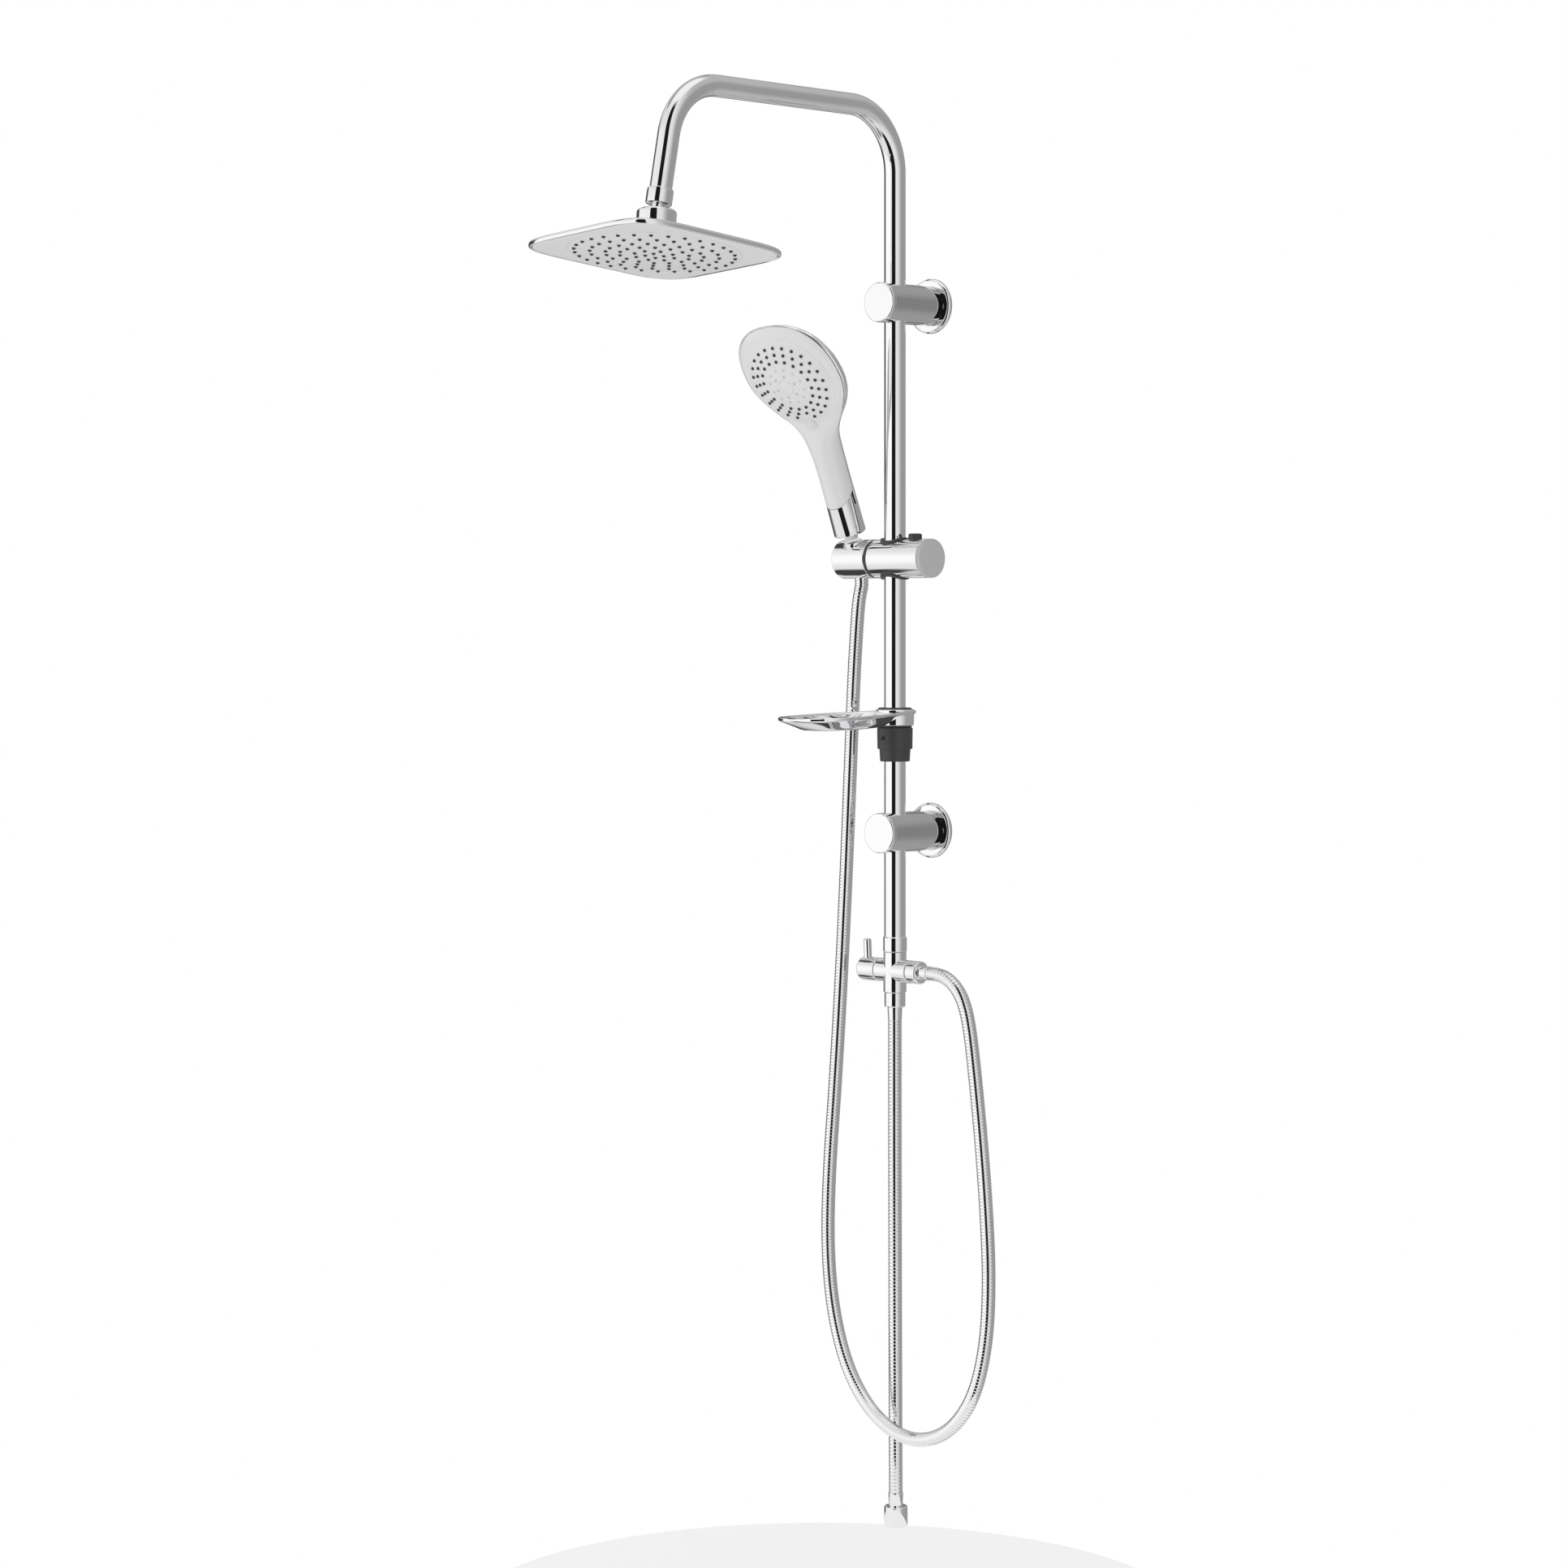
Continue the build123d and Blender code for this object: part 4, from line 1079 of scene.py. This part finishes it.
def corrugated(name, route, pitch, groove, stands_for, sides):
    """Interlocked metal hose: rings of one pitch with a flat crown and a narrow groove between.

    Radius = hose radius - groove + groove * min(1, 2 * sin(pi * phase)), phase going 0 to 1 over a ring.
    """
    line = route_line(name + "_line", route)
    length = even_points(line, 2)[1]
    rings = int(round(length / (pitch * MM)))
    path, length = even_points(line, rings * 6 + 1)
    phase = (np.arange(rings * 6 + 1) % 6) / 6.0
    crown = np.clip(np.sin(phase * math.pi) * 2.0, 0, 1)
    radii = (HOSE_R - groove + groove * crown) * MM
    made = swept(name, path, 0, HOSE_CHROME, None, "hose_steel", stands_for, sides=sides, radii=radii)
    return made, path, length


supply, supply_path, supply_length = corrugated(
    "supply_hose_rings", SUPPLY_ROUTE, 3.6, 0.95, ("supply_hose",), 32
)
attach(supply, "root")
shower, shower_path, shower_length = corrugated(
    "shower_hose_rings", SHOWER_ROUTE, 3.3, 0.9, ("shower_hose",), 28
)
tuple(shower_path[0])
tuple(shower_path[-1])
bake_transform(shower)


def follow_slider(hose, path):
    """Nearest ring of the hose's path for each of its corners, found in sixty batches; the result is not
    kept, so the hose does not follow the slider.
    """
    step = np.linalg.norm(np.diff(path, axis=0), axis=1)
    corners = np.empty(len(hose.data.vertices) * 3)
    hose.data.vertices.foreach_get("co", corners)
    rings = path[::6]
    near = [
        ((part[:, None] - rings[None]) ** 2).sum(-1).argmin(1) * 6
        for part in np.array_split(corners.reshape(-1, 3), 60)
    ]


follow_slider(shower, shower_path)

end_way = unit(column(*SUPPLY_ROUTE[-1]) - column(*SUPPLY_ROUTE[-2]))
END = column(*SUPPLY_ROUTE[-1])
turned(
    "supply_end_ferrule_skin",
    [(4.5, 0), (7.0, 0), (7.6, 0.8), (7.1, 13), (7.1, 20), (8.6, 20.4), (8.6, 22), (4.5, 22)],
    END, end_way, CHROME, "root", "chrome", ("supply_end_ferrule",), soft=0.4,
)
turned(
    "supply_end_nut_skin",
    [(7.4, 18.6), (7.4, 14), (11, 14), (12, 15), (12, 34), (11.2, 35), (9.5, 35), (9.3, 34.6), (9.3, 24.3),
     (9.9, 24.3), (9.9, 18.6), (7.4, 18.6)],
    END, end_way, CHROME, "hose_end_nut", "chrome", ("supply_end_nut",), soft=0.4,
)

tuple(supply_path[0])
tuple(shower_path[0])

# ------------------------------------------------------------------ finishes of the CAD nodes that show
CAD_SKINS = {
    "white_plastic": PLATE_WHITE, "nozzle_rubber": NOZZLE, "seal_rubber": SEAL, "dark_plastic": DARK,
    "grey_satin": SATIN, "steel": STEEL, "zinc_plate": ZINC, "brass_parts": BRASS, "chrome": CHROME,
    "hose_steel": HOSE_CHROME,
}
SLOT_OF = {entry["node"]: entry["material_slot"] for entry in frame["record"]["subparts"]}
for name, node in frame["nodes"].items():
    for place in range(len(node.material_slots)):
        node.material_slots[place].material = CAD_SKINS[SLOT_OF[name]]
frame["nodes"]["dish_clamp_screw"].material_slots[0].material = OXIDE


# ------------------------------------------------------------------ studio
def studio_world():
    """Studio for mirror-bright parts: white wall left, dark gap, soft greys right, dark frames up and down.

    turn is the angle round the column, in degrees from straight in front towards the right; lift is the
    angle above the horizon. Each step lays the next zone's grey over the zones before it.
    """
    world = bpy.data.worlds.new("studio")
    bpy.context.scene.world = world
    world.use_nodes = True
    tree = world.node_tree
    background = tree.nodes["Background"]
    start = Wire(tree, None)
    way = start.node("ShaderNodeTexCoord", out=0)
    side = way.dot(RIGHT)
    back = way.dot(-AWAY)
    high = way.dot((0, 0, 1))
    turn = side.maths("ARCTAN2", side, back) * (180 / math.pi)
    lift = high.maths("ARCSINE", high) * (180 / math.pi)
    off_level = lift.maths("ABSOLUTE", lift)
    bright = off_level.step(4, 38).mix(grey(1.04), grey(0.80))
    level = turn.step(-122, -116).mix(grey(0.06), bright)
    level = turn.step(-37.5, -35.5).mix(level, grey(0.010))
    level = turn.step(3.0, 6.0).mix(level, grey(0.80))
    right_side = off_level.step(12, 42).mix(grey(0.33), grey(0.48))
    level = turn.step(24, 76).mix(level, right_side)
    level = turn.step(160, 172).mix(level, grey(0.08))
    far_left = turn.step(-100, -118).maths("MAXIMUM", turn.step(-100, -118), turn.step(168, 172))
    beyond = off_level.step(48, 51)
    band = off_level.step(39, 42) * (1 - beyond)
    level = (off_level.step(10, 30) * far_left).mix(level, grey(0.72))
    level = (band * far_left).mix(level, grey(0.05))
    level = (beyond * far_left).mix(level, grey(0.62))
    level = lift.step(55, 70).mix(level, grey(0.95))
    level = (lift * -1).step(60, 75).mix(level, grey(0.7))
    soft = side.step(-0.9, 1.0).mix(grey(0.98), grey(0.60))
    soft = high.step(0.2, -0.9).mix(soft, grey(0.84))
    glossy = start.node("ShaderNodeLightPath", out=3)
    level = glossy.mix(soft, level)
    direct = start.node("ShaderNodeLightPath", out=0)
    level = direct.mix(level, grey(1.0))
    tree.links.new(level.socket, background.inputs["Color"])
    background.inputs["Strength"].default_value = 1.0


studio_world()


FLOOR_R = 0.36
FLOOR_DROP = 0.06          # gap between the end of the supply hose and the floor
FLOOR_Y = -0.16


def studio_floor():
    """Plain pale round floor under the end of the supply hose."""
    turn = np.linspace(0, 2 * np.pi, 96, endpoint=False)
    low = np.full(96, cad_box[0][2] - FLOOR_DROP)
    corners = np.stack([FLOOR_R * np.cos(turn), FLOOR_R * np.sin(turn) + FLOOR_Y, low], -1)
    mesh = bpy.data.meshes.new("studio_floor")
    mesh.from_pydata(corners.tolist(), [], [tuple(range(96))])
    floor = bpy.data.objects.new("studio_floor", mesh)
    bpy.context.scene.collection.objects.link(floor)
    made, shader, start = material("pale_floor")
    haze = object_noise(start, 3.0)
    link(haze.mix(grey(0.90), grey(0.93)), shader, "Base Color")
    shader.inputs["Roughness"].default_value = 0.9
    shader.inputs["Emission Color"].default_value = grey(1.0)
    shader.inputs["Emission Strength"].default_value = 0.16
    mesh.materials.append(made)


studio_floor()


def area_light(name, place, aim, size, power):
    """Round soft light aimed at a point, kept out of the mirror reflections."""
    data = bpy.data.lights.new(name, "AREA")
    data.shape = "DISK"
    data.size = size
    data.energy = power
    lamp = bpy.data.objects.new(name, data)
    lamp.location = place
    lamp.rotation_euler = (Vector(aim) - Vector(place)).to_track_quat("-Z", "Y").to_euler()
    lamp.visible_glossy = False
    bpy.context.scene.collection.objects.link(lamp)


area_light("key", (1.5, -3.0, -1.2), (0, -0.2, -0.2), 2.4, 6)
bpy.context.scene.view_settings.view_transform = "Standard"
